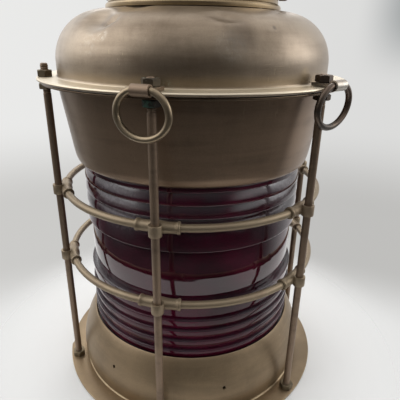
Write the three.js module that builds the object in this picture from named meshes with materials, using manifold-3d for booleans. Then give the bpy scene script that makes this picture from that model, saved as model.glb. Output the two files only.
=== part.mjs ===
// Marine signal lantern: a ribbed drum lens held between a bell-shaped base and a bowl with a
// domed, vented hood, inside a guard of six rods, two rings and cast cross fittings.
// Millimetres, +Z up. The origin is on the lantern's axis at the underside of the base flange,
// and one guard rod stands on the -Y side.
import * as THREE from 'three';
import { mergeVertices } from 'three/addons/utils/BufferGeometryUtils.js';
import Module from 'manifold-3d';

const wasm = await Module();
wasm.setup();

// General
const fit = 0.3; // clearance between pieces that touch
const sheet = 1.6; // brass sheet of the casing
const overrun = 2; // how far a cutting tool runs past what it cuts
const turn = 2 * Math.PI;
const weld = 0.0003; // corners nearer than this are one corner
const bigSteps = 36; // facets round the casing and the lens
const midSteps = 24; // facets round the lamp and the seals
const smallSteps = 10; // facets round rods, nuts and holes

// Lens, which the other radii follow
const lensHeight = 173.4;
const lensRadius = 102.4;
const lensWall = 9;
const lensEnd = 1; // plain band at each end
const lensCoverLower = 5.2; // how deep the lens stands in the bell
const lensCoverUpper = 6.9; // how deep it stands in the bowl
const beltHalf = 23.6;
const beltInset = 2.1; // how far the belt's middle lies inside the lens's radius
const beltBulge = 2.3;
const shoulderEnd = 41.7;
const prismCount = 4;
const prismStand = 0.8; // how far the prisms stand out past the lens's radius
const prismDepth = 2.6;
const prismNose = 1.4;

// Guard of rods and rings
const rodCount = 6;
const guardStandoff = 24.6; // from the lens to the rods' centres
const boltRadius = lensRadius + guardStandoff;
const rodRadius = 3.175;
const guardTubeRadius = 3.175;
const lowerRingDrop = 12.4; // below the middle of the lens
const upperRingRise = 54.9; // above it
const guardRingRadius = boltRadius - rodRadius - guardTubeRadius - fit;
const guardSegments = 48;
const tubeSides = 8;
const rodAngles = Array.from({ length: rodCount }, (_, i) => -turn / 4 + (i * turn) / rodCount);

// Cross fittings that tie each ring to each rod
const sleeveRadius = 4.5;
const sleeveLipRadius = 5;
const sleeveLength = 34;
const sleeveLip = 2.4;
const rodCollarRadius = 5.1;
const rodCollarHeight = 9;

// Nuts
const nutFlats = 11.1;
const nutHeight = 5;
const underNutHeight = 4.4;
const studRise = 5.4; // thread standing proud of a nut
const strapStudRise = 0.6; // and of a nut that clamps a strap

// Walls and flanges, each at a clearance from the nuts' flats
const wallClear = 3.85;
const hoodWallRadius = boltRadius - nutFlats / 2 - wallClear;
const bowlSpread = 0.6; // how far the bowl's top stands out past the hood's wall
const bellSpread = 1.1; // and the bell's widest part
const flangeEdge = 1.45; // of the hood's flange outside the nuts
const baseEdge = 1.95; // of the base flange outside the nuts
const bowlFlangeEdge = 4; // of the bowl's flange outside the rods' centres

// Base: a flange that the lantern stands on and a bell that carries the lens
const baseRadius = boltRadius + nutFlats / 2 + baseEdge;
const bellRadius = hoodWallRadius + bellSpread;
const bellMouthClear = 1.8; // between the lens and the bell's mouth, with its sheet
const bellHeight = 55.8;
const seatOverhang = 1.4; // of the ledges inside the lens
const lensSeatInner = lensRadius - lensWall - seatOverhang;
const gasketThickness = 1.8;
const drainHoleRadius = 1.6;
const drainHoles = [ // the angle from the front rod, and the height as a share of the bell's
  { turn: -0.4625, share: 0.59 },
  { turn: 0.47, share: 0.53 },
];
const drainHoleDepth = 8;
const baseFlangeLap = 6.7; // of the base flange under the bell
const baseFlangeInner = bellRadius - baseFlangeLap;
const standPlateThickness = 2;

// Bowl and hood
const bowlHeight = 67.8;
const bowlLipClear = 1.9; // between the lens and the bowl's lip, with its sheet
const bowlLipRadius = lensRadius + bowlLipClear;
const bowlTopRadius = hoodWallRadius + bowlSpread;
const bowlFlangeRadius = boltRadius + bowlFlangeEdge;
const flangeGasketThickness = 1.2;
const flangeRadius = boltRadius + nutFlats / 2 + flangeEdge;
const rimRadius = 1.3;
const rimSides = 6;
const hoodFoot = 2; // fillet between the hood's wall and its flange
const hoodWallHeight = 11.5;
const hoodShoulder = 40;
const hoodCrown = 0.6;
const hoodTopWidth = 11.6; // of the nearly flat top between the shoulder and the mouth
const hoodMouthRadius = hoodWallRadius - hoodShoulder - hoodTopWidth;

// Vent
const collarWidth = 4.8;
const collarLap = 3.5; // of the hood's top inside the collar
const collarInner = hoodMouthRadius + collarLap;
const collarRadius = collarInner + collarWidth;
const collarHeight = 4.4;
const galleryInset = 2.4; // from the collar's edge to the gallery's wall
const galleryRadius = collarRadius - galleryInset;
const galleryHeight = 31;
const windowCount = 10;
const windowWidth = 24;
const windowHeight = 11;
const windowSill = 13.5;
const windowDepth = 8; // how deep a window is cut
const capOverhang = 5.1;
const capRadius = galleryRadius + capOverhang;
const capRise = 20;
const capSkirt = 6;
const capKnobRadius = 9;
const capKnobHeight = 6;
const knobEdgeShares = [0.8, 0.7]; // of the knob's radius and height, where its edge turns in
const knobTopShare = 0.4; // of the knob's radius
const capSpigot = 5;

// Bail
const bailWire = 3;
const bailPivotRise = 10; // pivot above the foot of the gallery
const bailRise = 88;
const bailLeg = 12;
const earRadius = 7;
const earLength = 7.6;
const bailSideGap = 3.5;
const bailSteps = 16;

// Hoist rings and the folded straps that carry them
const degree = THREE.MathUtils.DEG2RAD;
const straps = [ // the rod, how far the strap is turned on it and how far its ring leans in
  { rod: 0, turn: -12 * degree, lean: 0 },
  { rod: 1, turn: -9 * degree, lean: 6 * degree },
];
const strapSheet = 1.25;
const strapWidth = 12.9;
const strapTail = 6.1;
const hoistWire = 2.38;
const hoistHalfWidth = 18.75;
const hoistHalfHeight = 15.75;
const strapReach = 0.9; // how far the knuckle stands off, so that a turned strap clears the rim
const hoistFlat = 15.4; // straight length of the ring inside its strap
const hoistSteps = 20;

// Lamp inside the lens
const pillarRadius = 12;
const pillarFoot = 30;
const pillarFootHeight = 4;
const cableHoleRadius = 6; // in the plate of the lamp's stand
const cableHoleReach = 70; // of that hole behind the pillar
const holderRadius = 20;
const holderHeight = 32;
const bulbRadius = 30;
const bulbNeck = 13;
const bulbRise = 78;

// Heights that follow from the sizes above
const lensBottom = bellHeight - lensCoverLower;
const lensTop = lensBottom + lensHeight;
const lensMiddle = lensBottom + lensHeight / 2;
const lowerRingHeight = lensMiddle - lowerRingDrop;
const upperRingHeight = lensMiddle + upperRingRise;
const lowerSeatTop = lensBottom - gasketThickness - 2 * fit;
const upperSeatBottom = lensTop + gasketThickness + 2 * fit;
const bowlLip = lensTop - lensCoverUpper;
const bowlFlangeBottom = bowlLip + bowlHeight;
const bowlFlangeTop = bowlFlangeBottom + sheet;
const hoodFlangeBottom = bowlFlangeTop + flangeGasketThickness + 2 * fit;
const flangeTop = hoodFlangeBottom + sheet;
const hoodWallTop = flangeTop + hoodWallHeight;
const hoodTop = hoodWallTop + hoodShoulder + hoodCrown;
const galleryFoot = hoodTop + collarHeight + 2 * fit;
const galleryTop = galleryFoot + galleryHeight;
const bailPivot = galleryFoot + bailPivotRise;
const strapBottom = flangeTop + fit;
const strapTop = strapBottom + 2 * strapSheet;
const knuckleBore = hoistWire + fit;
const knuckleRadius = knuckleBore + strapSheet;
const knuckleReach = flangeRadius + fit + strapReach + knuckleRadius;
const knuckleHeight = strapBottom + strapSheet;

// Materials
const finish = (color, roughness, metalness) =>
  new THREE.MeshStandardMaterial({ color, roughness, metalness });
const agedBrass = finish(0x7a6a52, 0.42, 1);
const darkBrass = finish(0x4c4034, 0.5, 1);
const rodBrass = finish(0x6b5b47, 0.45, 1);
const wornBrass = finish(0x8a7450, 0.35, 1);
const cork = finish(0x2a2522, 0.9, 0);
const rubyGlass = finish(0x4a0818, 0.08, 0);
const clearGlass = finish(0xe8e6dc, 0.1, 0);
const porcelain = finish(0xd9d4c6, 0.35, 0);

const lantern = new THREE.Group();

function add(name, geometry, material) {
  const mesh = new THREE.Mesh(geometry, material);
  mesh.name = name;
  lantern.add(mesh);
  return mesh;
}

// A closed triangle list with shared corners, its faces turned outwards
function tidy(geometry) {
  const bare = geometry.clone();
  for (const name of Object.keys(bare.attributes)) if (name !== 'position') bare.deleteAttribute(name);
  const merged = mergeVertices(bare, weld);
  const corner = merged.attributes.position;
  const kept = [];
  let volume = 0;
  const [a, b, c] = [new THREE.Vector3(), new THREE.Vector3(), new THREE.Vector3()];
  for (let i = 0; i < merged.index.count; i += 3) {
    const [p, q, r] = [0, 1, 2].map((k) => merged.index.getX(i + k));
    if (p === q || q === r || r === p) continue;
    kept.push(p, q, r);
    a.fromBufferAttribute(corner, p);
    b.fromBufferAttribute(corner, q);
    c.fromBufferAttribute(corner, r);
    volume += a.dot(b.cross(c));
  }
  if (volume < 0) kept.reverse();
  merged.setIndex(kept);
  return merged;
}

function solid(geometry) {
  const clean = tidy(geometry);
  return new wasm.Manifold(new wasm.Mesh({
    numProp: 3,
    vertProperties: Float32Array.from(clean.attributes.position.array),
    triVerts: Uint32Array.from(clean.index.array),
  }));
}

function shape(body) {
  const mesh = body.getMesh();
  const geometry = new THREE.BufferGeometry();
  geometry.setAttribute('position', new THREE.BufferAttribute(mesh.vertProperties, mesh.numProp));
  geometry.setIndex(new THREE.BufferAttribute(mesh.triVerts, 1));
  return geometry;
}

const join = (...bodies) => bodies.reduce((whole, body) => whole.add(body));
const cut = (body, ...tools) => tools.reduce((rest, tool) => rest.subtract(tool), body);

// A turned solid about Z from [radius, height] points that close on themselves
function turned(points, steps) {
  const outline = [...points, points[0]].map(([r, z]) => new THREE.Vector2(r, z));
  return new THREE.LatheGeometry(outline, steps).rotateX(turn / 4);
}

const ring = (inner, outer, bottom, top, steps) =>
  turned([[inner, bottom], [outer, bottom], [outer, top], [inner, top]], steps);

const disc = (radius, bottom, top, steps) =>
  new THREE.CylinderGeometry(radius, radius, top - bottom, steps)
    .rotateX(turn / 4).translate(0, 0, (top + bottom) / 2);

// The second side of a sheet whose first side follows the points, to the right of their course
function farSide(points, thickness) {
  const line = points.map(([r, z]) => new THREE.Vector2(r, z));
  return line.map((here, i) => {
    const into = here.clone().sub(line[Math.max(i - 1, 0)]).normalize();
    const out = line[Math.min(i + 1, line.length - 1)].clone().sub(here).normalize();
    if (i === 0) into.copy(out);
    if (i === line.length - 1) out.copy(into);
    const along = into.clone().add(out).normalize();
    const stretch = thickness / along.dot(out);
    return [here.x + along.y * stretch, here.y - along.x * stretch];
  });
}

const shell = (points, thickness) => [...points, ...farSide(points, thickness).reverse()];

const at = (angle, radius) => [radius * Math.cos(angle), radius * Math.sin(angle)];

function boltHoles(radius, bottom, top) {
  return rodAngles.map((angle) =>
    solid(disc(radius, bottom, top, smallSteps).translate(...at(angle, boltRadius), 0)));
}

const arc = (centre, radius, from, to, steps) =>
  Array.from({ length: steps + 1 }, (_, i) => {
    const angle = from + ((to - from) * i) / steps;
    return [centre[0] + radius * Math.cos(angle), centre[1] + radius * Math.sin(angle)];
  });

// The radius of an outline that rises all the way, at a height
function radiusAt(points, height) {
  const next = Math.max(points.findIndex(([, z]) => z >= height), 1);
  const [[lowRadius, low], [highRadius, high]] = points.slice(next - 1, next + 1);
  return lowRadius + ((highRadius - lowRadius) * (height - low)) / (high - low);
}

// A ledge of sheet inside a wall, reaching to the middle of the wall's thickness
function makeLedge(wall, bottom) {
  const outer = radiusAt(wall, bottom + sheet / 2) - sheet / 2;
  return solid(ring(lensSeatInner, outer, bottom, bottom + sheet, bigSteps));
}

// Base bell, standing on its flange, with the ledge that the lens stands on
function makeBaseBell() {
  const bellShares = [ // of the way from the mouth's radius to the widest, and of the height
    [0.845, 0.0345], [0.931, 0.143], [1, 0.3], [0.926, 0.466], [0.738, 0.645], [0.483, 0.803],
    [0.283, 0.903], [0.117, 0.968], [0, 1],
  ];
  const mouth = lensRadius + bellMouthClear;
  const outer = bellShares.map(([r, z]) => [mouth + r * (bellRadius - mouth), z * bellHeight]);
  const bell = solid(turned(shell(outer, -sheet), bigSteps));
  const ledge = makeLedge(outer, lowerSeatTop - sheet);
  const drains = drainHoles.map((drain) =>
    solid(disc(drainHoleRadius, bellRadius - drainHoleDepth, bellRadius + drainHoleDepth, smallSteps)
      .rotateY(turn / 4).rotateZ(rodAngles[0] + drain.turn).translate(0, 0, drain.share * bellHeight)));
  return cut(join(bell, ledge), ...drains);
}

// Half of the lens outline above its middle: belt, shoulder band, then the prisms
function lensHalf() {
  const prismRadius = lensRadius + prismStand;
  const root = prismRadius - prismDepth;
  const prismPitch = (lensHeight / 2 - lensEnd - shoulderEnd) / prismCount;
  const beltRadius = lensRadius - beltInset;
  const beltShares = [0, 0.55, 1];
  const points = beltShares.map((share) => [beltRadius - beltBulge * share * share, share * beltHalf]);
  points.push([prismRadius - prismNose, beltHalf + fit], [prismRadius, beltHalf + prismNose],
    [root, shoulderEnd]);
  for (let i = 0; i < prismCount; i += 1) {
    const foot = shoulderEnd + i * prismPitch;
    points.push([prismRadius, foot + prismNose], [root, foot + prismPitch]);
  }
  return points;
}

function makeLens() {
  const half = lensHalf();
  const end = lensHeight / 2;
  const inside = lensRadius - lensWall;
  const upper = half.map(([r, z]) => [r, lensMiddle + z]);
  const lower = half.slice(1).reverse().map(([r, z]) => [r, lensMiddle - z]);
  const points = [
    [inside, lensMiddle - end], [lensRadius, lensMiddle - end],
    [lensRadius, lower[0][1] - fit], ...lower, ...upper,
    [lensRadius, upper[upper.length - 1][1] + fit], [lensRadius, lensMiddle + end],
    [inside, lensMiddle + end],
  ];
  return tidy(turned(points, bigSteps));
}

// A flat flange with its bolt holes
function makeFlange(inner, outer, bottom, top) {
  return cut(solid(ring(inner, outer, bottom, top, bigSteps)),
    ...boltHoles(rodRadius + fit, bottom - overrun, top + overrun));
}

// Bowl above the lens, up to its flange, with the ledge that holds the lens down
function makeBowl() {
  const bowlShares = [
    [0, 0], [0.2, 0.03], [0.32, 0.085], [0.4, 0.16], [0.53, 0.34], [0.72, 0.6], [0.9, 0.84], [1, 1],
  ];
  const outer = bowlShares.map(([r, z]) =>
    [bowlLipRadius + r * (bowlTopRadius - bowlLipRadius), bowlLip + z * (bowlHeight - 2 * fit)]);
  const wall = solid(turned(shell(outer, -sheet), bigSteps));
  return join(wall, makeLedge(outer, upperSeatBottom));
}

// Hood: rolled rim, flange, upright wall, round shoulder and the mouth of the vent
function makeHood() {
  const foot = arc([hoodWallRadius + hoodFoot, flangeTop + hoodFoot], hoodFoot, -turn / 4, -turn / 2, 2);
  const shoulder = arc([hoodWallRadius - hoodShoulder, hoodWallTop], hoodShoulder, 0, turn / 4, 6);
  const outer = [[flangeRadius - rimRadius, flangeTop], ...foot, ...shoulder, [hoodMouthRadius, hoodTop]];
  const wall = solid(turned(shell(outer, -sheet), bigSteps));
  const rim = solid(turned(arc([flangeRadius - rimRadius, flangeTop - rimRadius], rimRadius, 0,
    turn * (1 - 1 / rimSides), rimSides - 1), bigSteps));
  return cut(join(wall, rim), ...boltHoles(rodRadius + fit, hoodFlangeBottom - overrun, flangeTop + overrun));
}

// Vent gallery: a short cylinder with windows
function makeGallery() {
  const wall = solid(ring(galleryRadius - sheet, galleryRadius, galleryFoot, galleryTop, bigSteps));
  const windows = Array.from({ length: windowCount }, (_, i) =>
    solid(new THREE.BoxGeometry(windowDepth, windowWidth, windowHeight)
      .translate(galleryRadius, 0, galleryFoot + windowSill + windowHeight / 2)
      .rotateZ(((i + 1 / 2) * turn) / windowCount)));
  return cut(wall, ...windows);
}

function makeCap() {
  const rimTop = galleryTop + fit;
  const domeShares = [[1, 0], [0.93, 0.32], [0.8, 0.58], [0.6, 0.8], [0.36, 0.94]];
  const dome = domeShares.map(([r, z]) => [r * capRadius, rimTop + z * capRise]);
  const spigotOuter = galleryRadius - sheet - fit;
  const knobFoot = rimTop + capRise;
  const [knobEdgeRadius, knobEdgeRise] = knobEdgeShares;
  const points = [
    [0, rimTop + capRise - 2 * sheet], [capKnobRadius, rimTop + capRise - 2 * sheet],
    [spigotOuter - sheet, rimTop + sheet], [spigotOuter - sheet, rimTop - capSpigot],
    [spigotOuter, rimTop - capSpigot], [spigotOuter, rimTop],
    [capRadius - sheet, rimTop], [capRadius - sheet, rimTop - capSkirt], [capRadius, rimTop - capSkirt],
    ...dome, [capKnobRadius, knobFoot],
    [knobEdgeRadius * capKnobRadius, knobFoot + knobEdgeRise * capKnobHeight],
    [knobTopShare * capKnobRadius, knobFoot + capKnobHeight], [0, knobFoot + capKnobHeight],
  ];
  return tidy(turned(points, bigSteps));
}

const bailSide = capRadius + bailSideGap + bailWire;

function makeBail() {
  const leg = [
    new THREE.Vector3(galleryRadius + 2 * fit, 0, 0),
    new THREE.Vector3(bailSide - bailWire, 0, 0),
    new THREE.Vector3(bailSide, 0, bailWire),
    new THREE.Vector3(bailSide, 0, bailLeg),
  ];
  const arch = Array.from({ length: bailSteps - 1 }, (_, i) => {
    const angle = ((i + 1) * turn) / 2 / bailSteps;
    return new THREE.Vector3(bailSide * Math.cos(angle), 0, bailLeg + (bailRise - bailLeg) * Math.sin(angle));
  });
  const mirrored = leg.map((p) => new THREE.Vector3(-p.x, p.y, p.z)).reverse();
  return sweep([...leg, ...arch, ...mirrored], bailWire, tubeSides).translate(0, 0, bailPivot);
}

// A bar through points in one plane, with a mitred ring of corners at each; it closes if asked to
function sweep(points, radius, sides, closed = false) {
  const count = points.length;
  const normal = planeNormal(points);
  const corners = [];
  points.forEach((here, i) => {
    const before = points[closed ? (i + count - 1) % count : Math.max(i - 1, 0)];
    const after = points[closed ? (i + 1) % count : Math.min(i + 1, count - 1)];
    const into = here.clone().sub(before).normalize();
    const out = after.clone().sub(here).normalize();
    if (before === here) into.copy(out);
    if (after === here) out.copy(into);
    const along = into.clone().add(out).normalize();
    const side = new THREE.Vector3().crossVectors(normal, along).divideScalar(along.dot(out));
    for (let k = 0; k < sides; k += 1) {
      const angle = ((k + 1 / 2) * turn) / sides;
      corners.push(here.clone().addScaledVector(side, radius * Math.cos(angle))
        .addScaledVector(normal, radius * Math.sin(angle)));
    }
  });
  const faces = [];
  const rows = closed ? count : count - 1;
  for (let i = 0; i < rows; i += 1) {
    for (let k = 0; k < sides; k += 1) {
      const [a, b] = [i * sides + k, i * sides + ((k + 1) % sides)];
      const [c, d] = [(a + sides) % (count * sides), (b + sides) % (count * sides)];
      faces.push(a, b, d, a, d, c);
    }
  }
  if (!closed) {
    const last = (count - 1) * sides;
    for (let k = 1; k < sides - 1; k += 1) faces.push(0, k + 1, k, last, last + k, last + k + 1);
  }
  const geometry = new THREE.BufferGeometry().setFromPoints(corners);
  geometry.setIndex(faces);
  return tidy(geometry);
}

function planeNormal(points) {
  const normal = new THREE.Vector3();
  for (let i = 2; i < points.length; i += 1) {
    const first = points[1].clone().sub(points[0]);
    normal.crossVectors(first, points[i].clone().sub(points[0]));
    if (normal.length() > fit) return normal.normalize();
  }
  return normal.set(0, 0, 1);
}

function makeEar(side) {
  const inner = galleryRadius - overrun;
  const boss = solid(ring(bailWire + fit, earRadius, inner, galleryRadius + earLength, smallSteps)
    .rotateY(turn / 4).translate(0, 0, bailPivot).rotateZ(side));
  return cut(boss, solid(disc(galleryRadius + fit, galleryFoot, galleryTop, bigSteps)));
}

// Hexagon nut about Z with two flats across its own X axis
function nut(bottom, height) {
  const corner = nutFlats / Math.sqrt(3);
  const body = solid(new THREE.CylinderGeometry(corner, corner, height, 6)
    .rotateX(turn / 4).translate(0, 0, bottom + height / 2));
  return cut(body, solid(disc(rodRadius + fit, bottom - overrun, bottom + height + overrun, smallSteps)));
}

function placeAtRod(geometry, index) {
  return geometry.clone().translate(boltRadius, 0, 0).rotateZ(rodAngles[index]);
}

// Cross fitting about a rod on the X axis: a sleeve bent along the guard ring and a rod collar
function makeCrossFitting(height) {
  const half = sleeveLength / 2;
  const sleeveOutline = [
    [0, -half], [sleeveLipRadius, -half], [sleeveLipRadius, sleeveLip - half],
    [sleeveRadius, sleeveLip - half], [sleeveRadius, 0], [sleeveRadius, half - sleeveLip],
    [sleeveLipRadius, half - sleeveLip], [sleeveLipRadius, half], [0, half],
  ];
  const bore = guardTubeRadius + fit;
  const reach = half + overrun;
  const waist = half / 3;
  const boreOutline = [[0, -reach], [bore, -reach], [bore, -waist], [bore, waist], [bore, reach], [0, reach]];
  const sleeve = solid(bend(turned(sleeveOutline, tubeSides)));
  const tunnel = solid(bend(turned(boreOutline, tubeSides)));
  const top = rodCollarHeight / 2;
  const collar = solid(disc(rodCollarRadius, -top, top, tubeSides).translate(boltRadius, 0, 0));
  const rodHole = solid(disc(rodRadius + 2 * fit, -top - overrun, top + overrun, tubeSides)
    .translate(boltRadius, 0, 0));
  return shape(cut(join(sleeve, collar), tunnel, rodHole)).translate(0, 0, height);
}

// Lays a turned solid's axis along the guard ring, centred where the ring crosses +X
function bend(geometry) {
  const bare = tidy(geometry);
  const corner = bare.attributes.position;
  for (let i = 0; i < corner.count; i += 1) {
    const [across, up, along] = [corner.getX(i), corner.getY(i), corner.getZ(i)];
    const [x, y] = at(along / guardRingRadius, guardRingRadius + across);
    corner.setXYZ(i, x, y, up);
  }
  return bare;
}

// Folded strap on the flange: two leaves under the nut and a knuckle round the hoist ring
function makeStrap() {
  const tail = boltRadius - strapTail;
  const leaf = knuckleReach - knuckleRadius;
  const leafAngle = Math.asin(strapSheet / knuckleRadius);
  const outline = new THREE.Shape();
  outline.moveTo(tail, strapBottom);
  outline.lineTo(leaf, strapBottom);
  outline.absarc(knuckleReach, knuckleHeight, knuckleRadius, turn / 2 + leafAngle,
    turn * 3 / 2 - leafAngle, false);
  outline.lineTo(leaf, strapTop);
  outline.lineTo(tail, strapTop);
  const eye = new THREE.Path();
  eye.absarc(knuckleReach, knuckleHeight, knuckleBore, 0, turn, true);
  outline.holes.push(eye);
  const body = solid(new THREE.ExtrudeGeometry(outline,
    { depth: strapWidth, bevelEnabled: false, curveSegments: smallSteps })
    .rotateX(turn / 4).translate(0, strapWidth / 2, 0));
  return shape(cut(body, solid(disc(rodRadius + fit, strapBottom - overrun, strapTop + overrun, smallSteps)
    .translate(boltRadius, 0, 0))));
}

// Hoist ring: oval but for the straight stretch inside its strap, hanging from the knuckle
function makeHoistRing(lean) {
  const half = Math.asin(hoistFlat / 2 / hoistHalfWidth);
  const drop = hoistHalfHeight * Math.cos(half);
  const points = Array.from({ length: hoistSteps + 1 }, (_, i) => {
    const angle = half + ((turn - 2 * half) * i) / hoistSteps;
    return new THREE.Vector3(0, hoistHalfWidth * Math.sin(angle), hoistHalfHeight * Math.cos(angle) - drop);
  });
  return sweep(points, hoistWire, tubeSides, true).rotateY(lean)
    .translate(knuckleReach, 0, knuckleHeight);
}

function makeBulb(bottom) {
  const centre = bottom + bulbRise - bulbRadius;
  const from = -Math.acos(bulbNeck / bulbRadius);
  const globe = arc([0, centre], bulbRadius, from, turn / 4, 8).map(([r, z]) => [Math.max(r, 0), z]);
  globe[globe.length - 1][0] = 0;
  return tidy(turned([[0, bottom], [bulbNeck, bottom], ...globe], midSteps));
}

// Casing, from the base upwards
add('base_flange', shape(makeFlange(baseFlangeInner, baseRadius, 0, sheet)), agedBrass);
add('base_bell', shape(makeBaseBell()), agedBrass);
const gasketOuter = lensRadius;
const gasketInner = lensSeatInner + sheet;
add('lower_lens_gasket', tidy(ring(gasketInner, gasketOuter, lowerSeatTop + fit,
  lensBottom - fit, midSteps)), cork);
add('fresnel_lens', makeLens(), rubyGlass);
add('upper_lens_gasket', tidy(ring(gasketInner, gasketOuter, lensTop + fit,
  upperSeatBottom - fit, midSteps)), cork);
add('upper_bowl', shape(makeBowl()), agedBrass);
const bowlFlange = makeFlange(bowlTopRadius - 2 * sheet, bowlFlangeRadius, bowlFlangeBottom, bowlFlangeTop);
add('bowl_flange', shape(bowlFlange), agedBrass);
const gasketBottom = bowlFlangeTop + fit;
add('flange_gasket', shape(makeFlange(bowlTopRadius + sheet, bowlFlangeRadius - fit,
  gasketBottom, gasketBottom + flangeGasketThickness)), cork);
add('hood', shape(makeHood()), agedBrass);
add('vent_collar', tidy(turned([
  [collarInner, hoodTop + fit], [collarRadius, hoodTop + fit],
  [collarRadius, galleryFoot - fit - sheet], [galleryRadius, galleryFoot - fit],
  [collarInner, galleryFoot - fit],
], bigSteps)), wornBrass);
add('vent_gallery', shape(makeGallery()), wornBrass);
add('vent_cap', makeCap(), agedBrass);
add('bail_ear_1', shape(makeEar(0)), darkBrass);
add('bail_ear_2', shape(makeEar(turn / 2)), darkBrass);
add('bail', makeBail(), rodBrass);

// Guard
const strapped = (i) => straps.some((strap) => strap.rod === i);
const nutSeat = (i) => (strapped(i) ? strapTop : flangeTop) + fit;
const stud = (i) => (strapped(i) ? strapStudRise : studRise);
const fittings = [['lower', lowerRingHeight], ['upper', upperRingHeight]];
for (const [level, height] of fittings) {
  const hoop = new THREE.TorusGeometry(guardRingRadius, guardTubeRadius, tubeSides, guardSegments)
    .translate(0, 0, height);
  add(`guard_ring_${level}`, tidy(hoop), rodBrass);
  const fitting = makeCrossFitting(height);
  rodAngles.forEach((angle, i) => {
    add(`cross_fitting_${level}_${i + 1}`, fitting.clone().rotateZ(angle), rodBrass);
  });
}
rodAngles.forEach((angle, i) => {
  const top = nutSeat(i) + nutHeight + stud(i);
  add(`guard_rod_${i + 1}`, placeAtRod(tidy(disc(rodRadius, 0, top, smallSteps)), i), rodBrass);
  add(`top_nut_${i + 1}`, placeAtRod(shape(nut(nutSeat(i), nutHeight)), i), darkBrass);
  const underSeat = bowlFlangeBottom - fit - underNutHeight;
  add(`under_nut_${i + 1}`, placeAtRod(shape(nut(underSeat, underNutHeight)), i), darkBrass);
  add(`foot_nut_${i + 1}`, placeAtRod(shape(nut(sheet + fit, nutHeight)), i), darkBrass);
});
straps.forEach((strap, i) => {
  const place = (geometry) => geometry.translate(-boltRadius, 0, 0).rotateZ(strap.turn)
    .translate(boltRadius, 0, 0).rotateZ(rodAngles[strap.rod]);
  add(`ring_strap_${i + 1}`, place(makeStrap()), rodBrass);
  add(`hoist_ring_${i + 1}`, place(makeHoistRing(strap.lean)), rodBrass);
});

// Lamp
const holderBottom = lensMiddle - holderHeight - bulbRise + bulbRadius + fit;
const footTop = standPlateThickness + pillarFootHeight;
const stand = solid(turned([
  [0, 0], [baseFlangeInner - fit, 0], [baseFlangeInner - fit, standPlateThickness],
  [pillarFoot, standPlateThickness], [pillarFoot, footTop], [pillarRadius, footTop],
  [pillarRadius, holderBottom - fit], [0, holderBottom - fit],
], bigSteps));
const cableHole = solid(disc(cableHoleRadius, -overrun, footTop, smallSteps).translate(0, cableHoleReach, 0));
add('lamp_stand', shape(cut(stand, cableHole)), darkBrass);
add('lamp_holder', tidy(disc(holderRadius, holderBottom, holderBottom + holderHeight, midSteps)), porcelain);
add('lamp_bulb', makeBulb(holderBottom + holderHeight + fit), clearGlass);

export default lantern;
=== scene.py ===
"""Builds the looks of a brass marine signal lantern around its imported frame."""

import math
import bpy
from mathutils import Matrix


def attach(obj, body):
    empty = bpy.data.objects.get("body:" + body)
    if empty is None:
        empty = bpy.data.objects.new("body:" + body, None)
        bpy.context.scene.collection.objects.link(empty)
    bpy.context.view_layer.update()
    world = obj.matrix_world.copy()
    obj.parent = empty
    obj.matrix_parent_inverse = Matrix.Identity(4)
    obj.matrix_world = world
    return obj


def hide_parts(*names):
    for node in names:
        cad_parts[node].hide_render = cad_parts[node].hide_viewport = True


bl_info = {
    "name": "Marine Signal Lantern",
    "version": (1, 0, 0),
    "blender": (4, 5, 0),
    "location": "View3D > Sidebar > Lantern",
    "description": "Builds a brass marine signal lantern around its packed frame",
    "category": "Add Mesh",
}

import bmesh
import bpy
from bpy.props import FloatProperty, FloatVectorProperty, IntProperty, PointerProperty
from mathutils import Euler, Matrix, Vector, noise

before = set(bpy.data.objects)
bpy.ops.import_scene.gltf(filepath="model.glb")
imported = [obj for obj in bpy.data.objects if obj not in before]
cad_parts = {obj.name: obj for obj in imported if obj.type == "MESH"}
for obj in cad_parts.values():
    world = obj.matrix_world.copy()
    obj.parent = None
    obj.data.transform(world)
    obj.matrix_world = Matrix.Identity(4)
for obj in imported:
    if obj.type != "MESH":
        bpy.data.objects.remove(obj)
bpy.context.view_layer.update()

MM = 0.001
TURN = 2 * math.pi
DEGREE = math.pi / 180
ROOT = "lantern"

# Sizes of the casing in millimetres, as the frame has them; a line is a list of radii and heights
SHEET = 1.6
GAP = 0.3
BASE_RADIUS = 134.5
BASE_FLANGE_INNER = 112.0
BELL_LINE = [
    (116.45, 1.93), (117.7, 7.98), (118.7, 16.74), (117.63, 26.0), (114.9, 35.99),
    (111.2, 44.81), (108.3, 50.39), (105.9, 54.01), (104.2, 55.8),
]
BELL_BEAD = [(118.0, BELL_LINE[0][1]), (117.1, 2.3), (116.7, 3.2)]
BELL_LEDGE = (92.0, 46.6, 48.2)  # inner radius, underside and top
DRAINS = [(-0.4625, 32.92), (0.47, 29.57)]  # turn from the front rod, and height
DRAIN_RADIUS = 1.6
DRAIN_REACH = (108.0, 124.0)
LENS_BOTTOM, LENS_MIDDLE, LENS_TOP = 50.6, 137.3, 224.0
LENS_RADIUS, LENS_INNER = 102.4, 93.4
SEALS = {  # inner and outer radius, underside and top
    "lower_lens_gasket": (93.6, 102.4, 48.5, 50.3),
    "upper_lens_gasket": (93.6, 102.4, 224.3, 226.1),
    "flange_gasket": (119.8, 130.7, 286.8, 288.0),
}
SEAL_ROUND = 0.2
BOWL_LINE = [
    (104.3, 217.1), (107.08, 219.12), (108.75, 222.81), (109.86, 227.85), (111.67, 239.95),
    (114.31, 257.42), (116.81, 273.55), (118.2, 284.3),
]
BOWL_LEDGE = (92.0, 226.4, 228.0)
BOWL_FLANGE = (115.0, 131.0, 284.9, 286.5)  # as the seals, and so are the collar and gallery
HOOD_FLANGE_TOP = 289.9
HOOD_FLANGE_MIDDLE = 124.0
HOOD_RIM = (132.7, 288.6, 1.3)  # middle and radius of the roll
HOOD_WALL = 117.6
HOOD_FOOT = 2.0
HOOD_WALL_STEP = 2.4
HOOD_WALL_TOP = 301.4
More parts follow.
